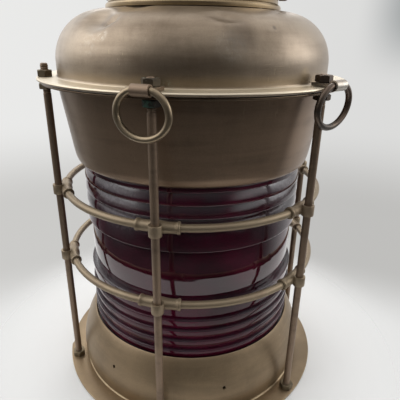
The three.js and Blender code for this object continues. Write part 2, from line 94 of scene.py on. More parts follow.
HOOD_SHOULDER = 40.0
HOOD_CROWN = (72.0, 341.9)
HOOD_MOUTH = (66.0, 342.0)
UPPER_HOLES = (284.0, 294.0)
COLLAR = (69.5, 74.3, 342.3, 346.7)
COLLAR_WALL = 2.6
COLLAR_TAPER = (0.8, 0.5)  # inwards and down at its upper edge
GALLERY = (70.3, 71.9, 347.0, 378.0)
WINDOW = (24.0, 11.0, 13.5, 10)  # width, height, sill and count
WINDOW_CUT, WINDOW_CORNER = 8.0, 2.0
CAP_RIM = 378.3
CAP_RADIUS = 77.0
CAP_RISE_SHARES = [(1.0, 0.0), (0.93, 6.4), (0.8, 11.6), (0.6, 16.0), (0.36, 18.8)]
CAP_NECK = (9.0, 20.0)
CAP_UNDER = [
    (0, 16.8), (9, 16.8), (68.4, SHEET), (68.4, -5), (70.0, -5), (70.0, 0),
    (CAP_RADIUS - SHEET, 0), (CAP_RADIUS - SHEET, -6), (CAP_RADIUS, -6),
]
CAP_KNOB = [(8.8, 21.5), (8.3, 23.6), (7.0, 25.2), (4.2, 26.0), (0, 26.0)]
WAVE_SCALES = {"bell": 0.018, "bowl": 0.016, "hood": 0.017, "cap": 0.02}

# Sizes of the bail, the guard and its fittings, in millimetres
BAIL_PIVOT = 357.0
BAIL_SIDE = 83.5
BAIL_WIRE = 3.0
BAIL_ENDS = [(72.6, 0.0), (76.0, 0.0)]
BAIL_BEND = 3.0
BAIL_LEG = 8.0
BAIL_ARCH_FOOT, BAIL_ARCH_RISE = 12.0, 76.0
EAR_LINE = [(3.3, 72.3), (6.9, 72.3), (6.9, 77.6), (6.3, 79.0), (5.6, 79.5), (3.3, 79.5)]
EAR_ROUND = 0.3
BOLT_RADIUS = 127.0
ROD_RADIUS = 3.175
ROD_ANGLES = [-TURN / 4 + i * TURN / 6 for i in range(6)]
ROD_TIP, ROD_TIP_TOP = 2.6, 1.6
THREAD_DEPTH = 0.38
FOOT_THREAD = (0.5, 10.0)
SHANK_HEIGHTS = (11.0, 100.0, 200.0, 276.5)
HEAD_THREAD_START = 277.0
GUARD_RADIUS = 120.35
GUARD_TUBE = 3.175
GUARD_HEIGHTS = {"lower": 124.9, "upper": 192.2}
SLEEVE_BORE = 3.45
FITTING_HOLE = 3.5
NUT_FLATS = 11.1
NUT_HEIGHT, UNDER_NUT_HEIGHT = 5.0, 4.4
NUT_SEAT, STRAP_NUT_SEAT = 290.2, 293.0
NUT_RISE, STRAP_NUT_RISE = 10.4, 5.6  # how far a rod stands above its nut's seat
UNDER_NUT_SEAT = 280.2
FOOT_NUT_SEAT = 1.9
STRAP_SHEET = 1.2
STRAP_WIDTH = 12.9
STRAP_TAIL = 120.9
STRAP_FOLD = 0.36
KNUCKLE = (139.13, 291.45, 3.3)  # middle and radius of the strap's fold
STRAPS = [(0, -12 * DEGREE, 0.0), (1, -9 * DEGREE, 6 * DEGREE)]  # rod, turn and lean
HOIST_HALF_WIDTH, HOIST_HALF_HEIGHT, HOIST_WIRE, HOIST_FLAT = 18.75, 15.75, 2.38, 15.4

# Sizes of the lamp, in millimetres
STAND_LINE = [
    (0, 0), (111.7, 0), (111.7, 2), (30, 2), (30, 4.9), (28.6, 6), (14, 6), (12.4, 6.8),
    (12, 9), (12, 57.3), (0, 57.3),
]
CABLE_HOLE = (6.0, 70.0)  # radius, and distance behind the axis
HOLDER_LINE = [
    (0, 57.6), (18.4, 57.6), (20, 60.5), (20, 69.0), (18.8, 70.2), (18.8, 73.0), (20, 74.2),
    (20, 86.6), (18.0, 89.6), (0, 89.6),
]
BULB_FOOT, BULB_NECK_TOP, BULB_MIDDLE = 89.9, 98.0, 137.9
BULB_NECK, BULB_RADIUS = 13.0, 30.0
STAND_ROUND, HOLDER_ROUND = 0.3, 0.5

# Points closer than this are one point, in millimetres
MERGE_DISTANCE = 0.002

# Dents: centre, reach, depth, squeeze and twist, in millimetres and radians
BASE_DENTS = [(Vector((-127.0, -45.0, SHEET)), 7.0, 2.2, 1.0, 0.0)]
HOOD_DENTS = [
    (Vector((-48.0, -90.5, 332.5)), 15.0, 4.8, 1.3, 0.15),
    (Vector((-38.0, -97.0, 331.5)), 6.5, 3.4, 1.6, -0.35),
    (Vector((-29.0, -82.0, 340.5)), 11.0, 3.2, 1.8, 0.0),
    (Vector((41.0, -91.0, 334.0)), 9.0, 2.2, 1.8, 0.1),
    (Vector((62.0, -97.0, 318.0)), 17.0, 1.0, 1.5, 0.0),
    (Vector((72.7, -79.1, 328.0)), 3.2, 0.8, 1.2, 0.0),
]
DENT_INWARD_SHARE = 0.5  # how much the distance inwards counts in a dent's reach
WAVE_RISE = 0.6  # how far the sheet moves up for each step outwards

# Painted reflections of bright windows on the lens: centre, reach and strength
LENS_REFLECTIONS = [
    ((-43.2, -92.4, 172.0), 30.0, 0.35),
    ((-45.0, -92.0, 198.0), 32.0, 0.8),
    ((88.0, -52.0, 203.0), 28.0, 0.9),
    ((79.4, -64.0, 174.0), 26.0, 0.35),
]

# Where the middle of the hood's painted dark reflection lies, in metres to the right of the axis
PAINTED_BAND_MIDDLE = 0.038

# Camera, floor and lamps, in metres and radians
CAMERA_LENS = 36.39
CAMERA_PLACE = (0.07984, -0.37755, 0.3222)
CAMERA_TURN = (1.18585, -0.01437, 0.19261)
FLOOR_REACH = 0.32
FLOOR_FRONT = -0.27
FLOOR_DROP = 0.0005
FLOOR_FADE_START = 0.14
LAMPS = {  # place, target, size and share of the key's power
    "key": ((-1.4, -0.4, 1.3), (0, 0, 0.25), (2.0, 1.6), 1.0),
    "fill": ((1.4, 0.35, 0.9), (0, 0, 0.2), (0.9, 0.9), 0.4),
    "back": ((-0.3, 1.4, 1.3), (0, 0, 0.25), (1.4, 0.9), 0.7),
}

# Light of the room: axis of the direction, where the change starts and ends, and both levels
ROOM_LIGHT = [
    ("Z", -0.1, 0.7, 0.02, 0.26),
    ("Y", 0.0, 0.7, 0.0, 0.7),
    ("Z", -0.4, -0.15, 0.07, 0.0),
    ("Z", 0.55, 0.9, 0.0, 0.65),
]
# Light of the room's sides: the same along X, and the heights between which it comes up
SIDE_LIGHT = [
    ((-0.9, -0.4, 0.75, 0.0), (-0.2, 0.06)),
    ((0.7, 0.95, 0.0, 1.1), (-0.15, 0.08)),
]


class LanternSizes(bpy.types.PropertyGroup):
    """Sizes of the finishing detail"""
    facets: IntProperty(
        name="Facets", description="Steps round the casing", default=192, min=48, max=360)
    edge_round: FloatProperty(
        name="Edge Round", description="Rounding of sheet edges", default=0.4 * MM, min=0,
        subtype="DISTANCE", unit="LENGTH")
    thread_pitch: FloatProperty(
        name="Thread Pitch", description="Pitch of the rods' thread", default=1.27 * MM,
        min=0.5 * MM, subtype="DISTANCE", unit="LENGTH")
    unevenness: FloatProperty(
        name="Unevenness", description="How far the old sheet metal waves in and out",
        default=0.35 * MM, min=0, subtype="DISTANCE", unit="LENGTH")


def tone(name, description, default):
    """A colour that the user may set"""
    return FloatVectorProperty(
        name=name, description=description, default=default, size=3, subtype="COLOR", min=0, max=1)


class LanternFinish(bpy.types.PropertyGroup):
    """Colours of the lantern's metal, glass and seals"""
    brass: tone("Brass", "Rubbed parts of the hood", (0.385, 0.302, 0.216))
    tarnish: tone("Tarnish", "Aged patches of the hood", (0.19, 0.135, 0.087))
    bowl: tone("Bowl", "Brown brass of the bowl", (0.305, 0.21, 0.14))
    base: tone("Base", "Olive brown brass of the base", (0.27, 0.194, 0.115))
    # the Flange colour is a painted highlight, laid on the top face of the hood's flange
    flange: tone("Flange", "Pale rubbed brass of the hood's flange", (0.8, 0.7, 0.53))
    gold: tone("Gold", "Brass with a golden cast", (0.42, 0.31, 0.17))
    rod: tone("Rod", "Rubbed parts of the guard", (0.245, 0.174, 0.12))
    rod_tarnish: tone("Rod Tarnish", "Aged parts of the guard", (0.09, 0.063, 0.045))
    guard: tone("Guard", "Khaki brass of the guard rings", (0.295, 0.23, 0.152))
    nut: tone("Nut", "Dark nuts", (0.05, 0.042, 0.036))
    khaki: tone("Khaki", "Olive brass of the other nuts", (0.24, 0.19, 0.12))
    scuff: tone("Scuff", "Bare metal in a scuff", (0.72, 0.68, 0.6))
    # the Smoke colour is painted shade and dark reflection in the hood's dents
    painted_dent_shade: tone("Smoke", "Dull dark stain", (0.09, 0.07, 0.055))
    crust: tone("Crust", "Pale crust beside the front nut", (0.5, 0.53, 0.43))
    edge: tone("Worn Edge", "Brass rubbed bright at edges", (0.5, 0.4, 0.25))
    verdigris: tone("Verdigris", "Green bloom in the corners", (0.07, 0.13, 0.1))
    glass: tone("Lens Glass", "Ruby glass of the drum lens", (0.072, 0.003, 0.018))
    # the Dust colour is partly dust and partly a painted sheen of light from above on the lens's
    # upward slopes
    dust_and_sheen: tone("Dust", "Dust on the slopes of the lens", (0.045, 0.03, 0.04))
    # the Haze colour is a painted reflection of bright windows on the lens
    painted_reflection: tone("Haze", "Blue-grey haze on the lens", (0.27, 0.24, 0.26))
    seal: tone("Seal", "Dark cork of the seals", (0.022, 0.018, 0.015))
    porcelain: tone("Porcelain", "Glazed lamp holder", (0.62, 0.58, 0.5))
    bulb: tone("Bulb", "Clear glass of the bulb", (0.9, 0.89, 0.85))


class LanternStage(bpy.types.PropertyGroup):
    """Floor, lamps and background"""
    floor: tone("Floor", "Colour of the floor", (0.82, 0.82, 0.81))
    high: tone("High", "Background above", (0.82, 0.82, 0.81))
    middle: tone("Middle", "Background at half height", (0.6, 0.595, 0.58))
    low: tone("Low", "Background below", (0.78, 0.78, 0.77))
    corner: tone("Corner", "Background in the upper right corner", (0.3, 0.32, 0.325))
    floor_radius: FloatProperty(
        name="Floor Radius", description="Where the floor has faded into the background",
        default=0.27, min=0.2, subtype="DISTANCE", unit="LENGTH")
    key_power: FloatProperty(
        name="Key Power", description="Power of the large soft lamp", default=14.0, min=0,
        subtype="POWER", unit="POWER")


# Outlines in millimetres, as radius and height

def smooth_line(points, steps):
    """Extra points on an even curve through the given ones"""
    line = [Vector(point) for point in points]
    line = [2 * line[0] - line[1]] + line + [2 * line[-1] - line[-2]]
    fine = []
    for before, start, end, after in zip(line, line[1:], line[2:], line[3:]):
        for step in range(steps):
            t = step / steps
            fine.append(0.5 * (2 * start + (end - before) * t
                               + (2 * before - 5 * start + 4 * end - after) * t * t
                               + (3 * start - before - 3 * end + after) * t * t * t))
    fine.append(line[-2])
    return [tuple(point) for point in fine]


def arc(centre, radius, start, end, steps):
    """Points on an arc between two angles"""
    return [(centre[0] + radius * math.cos(start + (end - start) * i / steps),
             centre[1] + radius * math.sin(start + (end - start) * i / steps))
            for i in range(steps + 1)]


def far_side(points, thickness):
    """The same line moved sideways by the thickness of the sheet"""
    line = [Vector(point) for point in points]
    moved = []
    for i, here in enumerate(line):
        into = (here - line[i - 1]).normalized() if i else (line[1] - here).normalized()
        out = (line[i + 1] - here).normalized() if i < len(line) - 1 else into
        along = (into + out).normalized()
        stretch = thickness / max(along.dot(out), 0.5)
        moved.append((here.x + along.y * stretch, here.y - along.x * stretch))
    return moved


# Meshes

def round_edges(bm, offset, segments=2, angle=32 * DEGREE):
    """Rounds the sharp edges and marks them as worn"""
    wear = bm.faces.layers.float.get("wear") or bm.faces.layers.float.new("wear")
    sharp = [edge for edge in bm.edges if edge.is_manifold and edge.calc_face_angle(0) > angle]
    if offset and sharp:
        done = bmesh.ops.bevel(
            bm, geom=sharp, offset=offset, offset_type="OFFSET", segments=segments, profile=0.5,
            affect="EDGES", material=-1, clamp_overlap=True)
        for face in done["faces"]:
            face[wear] = 1.0


def spun(outline, steps, rounding=0.0):
    """A bmesh of an outline of radii and heights turned about Z"""
    bm = bmesh.new()
    verts = [bm.verts.new((radius, 0, height)) for radius, height in outline]
    edges = [bm.edges.new(pair) for pair in zip(verts, verts[1:] + verts[:1])
             if pair[0].co.x > 0 or pair[1].co.x > 0]
    bmesh.ops.spin(bm, geom=verts + edges, cent=(0, 0, 0), axis=(0, 0, 1), dvec=(0, 0, 0),
                   angle=TURN, steps=steps, use_merge=True, use_duplicate=False)
    bmesh.ops.remove_doubles(bm, verts=bm.verts, dist=MERGE_DISTANCE)
    bmesh.ops.recalc_face_normals(bm, faces=bm.faces)
    round_edges(bm, rounding)
    return bm


def to_mesh(bm, name, matrix=None):
    """Turns a bmesh into a mesh, moved by the matrix, and frees it"""
    if matrix is not None:
        bmesh.ops.transform(bm, matrix=matrix, verts=bm.verts)
    mesh = bpy.data.meshes.new(name)
    bm.to_mesh(mesh)
    bm.free()
    return mesh


def smoothed(mesh, angle):
    """Shades the mesh smooth, apart from its sharp edges"""
    mesh.shade_smooth()
    mesh.set_sharp_from_angle(angle=angle)
    return mesh


def carved(mesh, tool, operation="DIFFERENCE"):
    """The mesh after a boolean with the tool, which is used up"""
    things = [bpy.data.objects.new(part.name, part) for part in (mesh, tool)]
    for thing in things:
        bpy.context.scene.collection.objects.link(thing)
    body, cutter = things
    step = body.modifiers.new("carve", "BOOLEAN")
    step.operation, step.solver, step.object = operation, "EXACT", cutter
    bpy.context.view_layer.update()
    result = bpy.data.meshes.new_from_object(
        body.evaluated_get(bpy.context.evaluated_depsgraph_get()))
    for thing in things:
        data = thing.data
        bpy.data.objects.remove(thing)
        bpy.data.meshes.remove(data)
    return result


def cylinders(radius, bottom, top, places, segments=24):
    """Upright cylinders at the given places in one mesh"""
    bm = bmesh.new()
    for x, y in places:
        bmesh.ops.create_cone(
            bm, cap_ends=True, segments=segments, radius1=radius, radius2=radius,
            depth=top - bottom, matrix=Matrix.Translation((x, y, (top + bottom) / 2)))
    return to_mesh(bm, "holes")


def bolt_places():
    """Where the six rods stand"""
    return [(BOLT_RADIUS * math.cos(angle), BOLT_RADIUS * math.sin(angle)) for angle in ROD_ANGLES]


def bolt_holes(bottom, top):
    """The tool that cuts the rods' holes between two heights"""
    return cylinders(ROD_RADIUS + GAP, bottom, top, bolt_places())


def side_cylinder(radius, angle, height, start, end, segments=20):
    """A cylinder that points outwards from the axis"""
    bm = bmesh.new()
    place = (Matrix.Rotation(angle, 4, "Z") @ Matrix.Translation(((start + end) / 2, 0, height))
             @ Matrix.Rotation(TURN / 4, 4, "Y"))
    bmesh.ops.create_cone(bm, cap_ends=True, segments=segments, radius1=radius, radius2=radius,
                          depth=end - start, matrix=place)
    return to_mesh(bm, "side_hole")


def waved(mesh, depth, scale=0.02, dents=()):
    """Lets old sheet metal wave a little in and out, and sinks its dents"""
    for vert in mesh.vertices:
        here = vert.co
        out = Vector((here.x, here.y, 0)).normalized()
        move = depth * noise.noise(here * scale)
        for centre, reach, sink, squeeze, twist in dents:
            offset = here - centre
            side = offset.dot(out.cross(Vector((0, 0, 1))))
            rise = offset.z
            along = side * math.cos(twist) + rise * math.sin(twist)
            across = rise * math.cos(twist) - side * math.sin(twist)
            inwards = offset.dot(out) * DENT_INWARD_SHARE
            far = math.hypot(along / squeeze, across * squeeze, inwards) / reach
            if far < 1:
                move -= sink * (1 - far * far) ** 2
        vert.co = here + (out + Vector((0, 0, WAVE_RISE))).normalized() * move
    return mesh


def scaled(mesh):
    """The mesh in metres instead of millimetres"""
    mesh.transform(Matrix.Scale(MM, 4))
    return mesh


def wire_mesh(points, radius, closed=False, name="wire"):
    """A round bar along points in millimetres"""
    curve = bpy.data.curves.new(name, "CURVE")
    curve.dimensions = "3D"
    curve.bevel_depth = radius
    curve.bevel_resolution = 6
    curve.use_fill_caps = True
    spline = curve.splines.new("POLY")
    spline.points.add(len(points) - 1)
    for knot, point in zip(spline.points, points):
        knot.co = (*point, 1)
    spline.use_cyclic_u = closed
    bar = bpy.data.objects.new(name, curve)
    bpy.context.scene.collection.objects.link(bar)
    bpy.context.view_layer.update()
    mesh = bpy.data.meshes.new_from_object(
        bar.evaluated_get(bpy.context.evaluated_depsgraph_get()))
    bpy.data.objects.remove(bar)
    bpy.data.curves.remove(curve)
    bm = bmesh.new()
    bm.from_mesh(mesh)
    bpy.data.meshes.remove(mesh)
    bmesh.ops.remove_doubles(bm, verts=bm.verts, dist=MERGE_DISTANCE)
    bmesh.ops.recalc_face_normals(bm, faces=bm.faces)
    return to_mesh(bm, name)


def place(name, mesh, finish, slot, body, nodes, angle=30 * DEGREE):
    """Puts a finished mesh in the scene as a piece that stands for its CAD nodes"""
    mesh.name = name
    obj = bpy.data.objects.new(name, smoothed(scaled(mesh), angle))
    bpy.context.scene.collection.objects.link(obj)
    mesh.materials.clear()
    mesh.materials.append(finish)
    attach(obj, body)
    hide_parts(*nodes)
    return obj


# Node groups and materials

def new_group(name, inputs, outputs):
    """An empty node group with its sockets, and its two end nodes"""
    group = bpy.data.node_groups.new(name, "ShaderNodeTree")
    for label, kind, default in inputs:
        socket = group.interface.new_socket(label, in_out="INPUT", socket_type=kind)
        if default is not None:
            socket.default_value = default
    for label, kind in outputs:
        group.interface.new_socket(label, in_out="OUTPUT", socket_type=kind)
    return group, group.nodes.new("NodeGroupInput"), group.nodes.new("NodeGroupOutput")


def feed(group, socket, value):
    """Links a socket to an output, or sets it to a number, a vector or a colour"""
    if isinstance(value, bpy.types.NodeSocket):
        group.links.new(value, socket)
    elif socket.type == "RGBA":
        socket.default_value = (*value, 1.0)
    else:
        socket.default_value = value


def noise_node(group, vector, scale, detail=4.0, roughness=0.55, distortion=0.0):
    """The strength of a noise texture"""
    made = group.nodes.new("ShaderNodeTexNoise")
    for label, value in (("Vector", vector), ("Scale", scale), ("Detail", detail),
                         ("Roughness", roughness), ("Distortion", distortion)):
        feed(group, made.inputs[label], value)
    return made.outputs["Fac"]


def maths(group, operation, *values, clamp=False):
    """The result of a Math node"""
    made = group.nodes.new("ShaderNodeMath")
    made.operation = operation
    made.use_clamp = clamp
    for socket, value in zip(made.inputs, values):
        feed(group, socket, value)
    return made.outputs[0]


def ranged(group, value, low, high, new_low=0.0, new_high=1.0):
    """The value eased from one range to another, and held at its ends"""
    made = group.nodes.new("ShaderNodeMapRange")
    made.interpolation_type = "SMOOTHSTEP"
    for label, number in (("Value", value), ("From Min", low), ("From Max", high),
                          ("To Min", new_low), ("To Max", new_high)):
        feed(group, made.inputs[label], number)
    return made.outputs["Result"]


def ranged_grey(group, value, low, high):
    """A grey that goes from low to high as the value goes from zero to one"""
    made = group.nodes.new("ShaderNodeCombineColor")
    spread = maths(group, "MULTIPLY_ADD", value, high - low, low)
    for socket in made.inputs:
        group.links.new(spread, socket)
    return made.outputs[0]


def blended(group, factor, first, second, mode="MIX"):
    """The first colour with the second laid over it"""
    made = group.nodes.new("ShaderNodeMix")
    made.data_type = "RGBA"
    made.blend_type = mode
    for index, value in ((0, factor), (6, first), (7, second)):  # a colour mix's own sockets
        feed(group, made.inputs[index], value)
    return made.outputs[2]


def vector_maths(group, operation, vector, label, value):
    """The Vector Math node that changes a vector or colour by the value in the named socket"""
    made = group.nodes.new("ShaderNodeVectorMath")
    made.operation = operation
    feed(group, made.inputs[0], vector)
    feed(group, made.inputs[label], value)
    return made.outputs


def stretched(group, vector, amounts):
    """The vector with each axis times its own amount"""
    return vector_maths(group, "MULTIPLY", vector, 1, amounts)[0]


def dimmed(group, colour, factor):
    """The colour times a factor"""
    return vector_maths(group, "SCALE", colour, "Scale", factor)[0]


def split_axes(group, vector):
    """The three parts of a vector, as sockets"""
    made = group.nodes.new("ShaderNodeSeparateXYZ")
    group.links.new(vector, made.inputs[0])
    return made.outputs


def patina_group():
    """Soft patches, drips and fine grain of aged brass"""
    group, given, result = new_group(
        "Patina",
        [("Vector", "NodeSocketVector", None), ("Clean", "NodeSocketColor", (0.3, 0.2, 0.1, 1)),
         ("Aged", "NodeSocketColor", (0.1, 0.08, 0.06, 1)), ("Patches", "NodeSocketFloat", 14.0),
         ("Age", "NodeSocketFloat", 0.5), ("Gloss", "NodeSocketFloat", 0.36)],
        [("Color", "NodeSocketColor"), ("Roughness", "NodeSocketFloat"),
         ("Height", "NodeSocketFloat")])
    vector = given.outputs["Vector"]
    cloud = noise_node(group, vector, given.outputs["Patches"], 6.0, 0.6, 0.6)
    drip = noise_node(group, stretched(group, vector, (1, 1, 0.12)), 70.0, 4.0, 0.6, 0.2)
    band = noise_node(group, stretched(group, vector, (1, 1, 9)), 12.0, 4.0, 0.55, 0.3)
    grain = noise_node(group, vector, 900.0, 3.0, 0.6)
    speck = noise_node(group, vector, 260.0, 5.0, 0.75)
    mixed = maths(group, "ADD", maths(group, "MULTIPLY", cloud, 0.5),
                  maths(group, "MULTIPLY", drip, 0.15))
    mixed = maths(group, "ADD", mixed, maths(group, "MULTIPLY", band, 0.35))
    shifted = maths(group, "ADD", mixed, maths(group, "SUBTRACT", given.outputs["Age"], 0.5))
    mask = ranged(group, shifted, 0.36, 0.66)
    colour = blended(group, mask, given.outputs["Clean"], given.outputs["Aged"])
    dark = maths(group, "MULTIPLY", ranged(group, speck, 0.6, 0.74), 0.45)
    colour = blended(group, dark, colour, given.outputs["Aged"])
    shade = ranged(group, grain, 0.3, 0.7, 0.95, 1.05)
    group.links.new(dimmed(group, colour, shade), result.inputs["Color"])
    rough = maths(group, "ADD", given.outputs["Gloss"], maths(group, "MULTIPLY", mask, 0.1))
    fine = maths(group, "MULTIPLY", ranged(group, grain, 0.3, 0.7), 0.03)
    rough = maths(group, "ADD", rough, fine)
    group.links.new(rough, result.inputs["Roughness"])
    height = maths(group, "ADD", maths(group, "MULTIPLY", cloud, 0.5),
                   maths(group, "MULTIPLY", grain, 0.02))
    group.links.new(maths(group, "SUBTRACT", height, maths(group, "MULTIPLY", dark, 0.12)),
                    result.inputs["Height"])
    return group


def scuff_group():
    """Fine hairlines that run round and across a rubbed surface"""
    group, given, result = new_group(
        "Scuffs", [("Vector", "NodeSocketVector", None), ("Amount", "NodeSocketFloat", 0.5)],
        [("Mask", "NodeSocketFloat"), ("Height", "NodeSocketFloat")])
    vector = given.outputs["Vector"]
    around = noise_node(group, stretched(group, vector, (1, 1, 22)), 60.0, 3.0, 0.7, 0.1)
    across = noise_node(group, stretched(group, vector, (9, 2, 1)), 130.0, 2.0, 0.6, 0.4)
    fine = maths(group, "MULTIPLY", ranged(group, around, 0.6, 0.68), 0.6)
    cross = ranged(group, across, 0.66, 0.7)
    where = ranged(group, noise_node(group, vector, 18.0), 0.45, 0.65)
    mask = maths(group, "MULTIPLY", maths(group, "MAXIMUM", fine, cross), where)
    mask = maths(group, "MULTIPLY", mask, given.outputs["Amount"], clamp=True)
    group.links.new(mask, result.inputs["Mask"])
    group.links.new(maths(group, "MULTIPLY", around, 0.3), result.inputs["Height"])
    return group


def bloom_group():
    """Spots of verdigris and grime"""
    group, given, result = new_group(
        "Bloom",
        [("Vector", "NodeSocketVector", None), ("Size", "NodeSocketFloat", 120.0),
         ("Cover", "NodeSocketFloat", 0.5)],
        [("Mask", "NodeSocketFloat")])
    spots = noise_node(group, given.outputs["Vector"], given.outputs["Size"], 5.0, 0.7, 0.3)
    level = maths(group, "SUBTRACT", 0.8, maths(group, "MULTIPLY", given.outputs["Cover"], 0.4))
    mask = ranged(group, spots, level, maths(group, "ADD", level, 0.09))
    group.links.new(mask, result.inputs["Mask"])
    return group


def mark_group():
    """A ragged patch round one place"""
    group, given, result = new_group(
        "Mark",
        [("Vector", "NodeSocketVector", None), ("Centre", "NodeSocketVector", (0, 0, 0)),
         ("Reach", "NodeSocketFloat", 0.01), ("Ragged", "NodeSocketFloat", 1.0)],
        [("Mask", "NodeSocketFloat")])
    vector, reach = given.outputs["Vector"], given.outputs["Reach"]
    away = vector_maths(group, "DISTANCE", vector, 1, given.outputs["Centre"])["Value"]
    near = ranged(group, away, maths(group, "MULTIPLY", reach, 0.3), reach, 1.0, 0.0)
    torn = ranged(group, noise_node(group, vector, 260.0, 5.0, 0.7, 0.5), 0.47, 0.6)
    whole = maths(group, "SUBTRACT", 1.0, given.outputs["Ragged"])
    torn = maths(group, "MULTIPLY_ADD", torn, given.outputs["Ragged"], whole)
    group.links.new(maths(group, "MULTIPLY", near, torn), result.inputs["Mask"])
    return group


def shared(name, maker):
    """The node group of that name, made at its first use"""
    return bpy.data.node_groups.get(name) or maker()


def use_group(tree, group, vector, **values):
    """A group placed in a material with its own values"""
    made = tree.nodes.new("ShaderNodeGroup")
    made.node_tree = group
    tree.links.new(vector, made.inputs["Vector"])
    for label, value in values.items():
        feed(tree, made.inputs[label.title()], value)
    return made


def toned(colour, share):
    """The colour, or another list of numbers, times a share"""
    return [share * part for part in colour]


def marked(tree, coords, centre, reach, ragged):
    """The mask of a ragged patch; its centre and reach are in millimetres"""
    spot = use_group(tree, shared("Mark", mark_group), coords,
                     centre=toned(centre, MM), reach=MM * reach, ragged=ragged)
    return spot.outputs["Mask"]


def new_material(name):
    """A material with its node tree, its shader and the object's coordinates"""
    material = bpy.data.materials.new(name)
    material.use_nodes = True
    tree = material.node_tree
    shader = tree.nodes["Principled BSDF"]
    coords = tree.nodes.new("ShaderNodeTexCoord").outputs["Object"]
    return material, tree, shader, coords


def bumped(tree, shader, height, strength, distance=0.0004):
    """Lets a height shape the light on the surface"""
    bump = tree.nodes.new("ShaderNodeBump")
    bump.inputs["Strength"].default_value = strength
    bump.inputs["Distance"].default_value = distance
    tree.links.new(height, bump.inputs["Height"])
    tree.links.new(bump.outputs["Normal"], shader.inputs["Normal"])


def height_band(tree, coords, low, high, soft, half_width):
    """A mask for a band of painted light or shade: one between two heights and within its half
    width of the band's middle
    """
    x, _, z = split_axes(tree, coords)
    wobble = maths(tree, "MULTIPLY", noise_node(tree, coords, 25.0, 2.0), soft)
    height = maths(tree, "ADD", z, maths(tree, "SUBTRACT", wobble, soft / 2))
    rise = ranged(tree, height, low - soft, low + soft)
    fall = ranged(tree, height, high - soft, high + soft, 1.0, 0.0)
    aside = maths(tree, "ABSOLUTE", maths(tree, "SUBTRACT", x, PAINTED_BAND_MIDDLE))
    across = ranged(tree, aside, half_width / 3, half_width, 1.0, 0.0)
    return maths(tree, "MULTIPLY", maths(tree, "MULTIPLY", rise, fall), across)


def brass(name, clean, aged, patches=14.0, age=0.5, gloss=0.36, scuffs=0.5, cover=0.12,
          bloom=None, edge_wear=0.6, bump=0.25, metallic=0.85, coat=0.0, painted_light_bands=(), marks=()):
    """Aged brass with patches, hairlines, worn edges and a little bloom; each band is painted light
    or shade, given as a low and a high height, a softness and a half width in metres, a colour and
    a strength, and each mark, a stain, a scuff or a patch of painted light, shade or reflection, is
    a centre and a reach in millimetres, a raggedness, a colour and a strength"""
    found = bpy.data.materials.get(name)
    if found:
        return found
    colours = bpy.context.scene.lantern_finish
    material, tree, shader, coords = new_material(name)
    patina = use_group(tree, shared("Patina", patina_group), coords,
                       clean=clean, aged=aged, patches=patches, age=age, gloss=gloss)
    lines = use_group(tree, shared("Scuffs", scuff_group), coords, amount=scuffs)
    spots = use_group(tree, shared("Bloom", bloom_group), coords, size=120.0, cover=cover)
    wear = tree.nodes.new("ShaderNodeAttribute")
    wear.attribute_name = "wear"
    rubbed = maths(tree, "MULTIPLY", ranged(tree, wear.outputs["Fac"], 0.2, 1.0), edge_wear)
    uneven = ranged(tree, noise_node(tree, coords, 90.0), 0.35, 0.6)
    rubbed = maths(tree, "MULTIPLY", rubbed, uneven)
    facing = split_axes(tree, tree.nodes.new("ShaderNodeTexCoord").outputs["Normal"])
    upright = ranged(tree, maths(tree, "ABSOLUTE", facing["Z"]), 0.5, 0.85, 0.5, 0.0)
    rubbed = maths(tree, "MAXIMUM", rubbed, maths(tree, "MULTIPLY", lines.outputs["Mask"], upright))
    colour = patina.outputs["Color"]
    # each band lays painted light or shade into the colour between its heights
    for low, high, soft, half_width, shade, strength in painted_light_bands:
        mask = height_band(tree, coords, low, high, soft, half_width)
        colour = blended(tree, maths(tree, "MULTIPLY", mask, strength), colour, shade)
    for centre, reach, ragged, shade, strength in marks:
        mask = maths(tree, "MULTIPLY", marked(tree, coords, centre, reach, ragged), strength)
        colour = blended(tree, mask, colour, shade)
    colour = blended(tree, rubbed, colour, colours.edge)
    colour = blended(tree, spots.outputs["Mask"], colour, bloom or colours.verdigris)
    tree.links.new(colour, shader.inputs["Base Color"])
    rough = maths(tree, "ADD", patina.outputs["Roughness"],
                  maths(tree, "MULTIPLY", spots.outputs["Mask"], 0.3))
    tree.links.new(rough, shader.inputs["Roughness"])
    metal = maths(tree, "SUBTRACT", metallic,
                  maths(tree, "MULTIPLY", spots.outputs["Mask"], 0.7), clamp=True)
    tree.links.new(metal, shader.inputs["Metallic"])
    shader.inputs["Coat Weight"].default_value = coat
    shader.inputs["Coat Roughness"].default_value = 0.3
    height = maths(tree, "ADD", patina.outputs["Height"], lines.outputs["Height"])
    bumped(tree, shader, height, bump)
    return material


def casing_brass():
    """The cap"""
    colours = bpy.context.scene.lantern_finish
    return brass("casing_brass", colours.brass, colours.tarnish, coat=0.15)


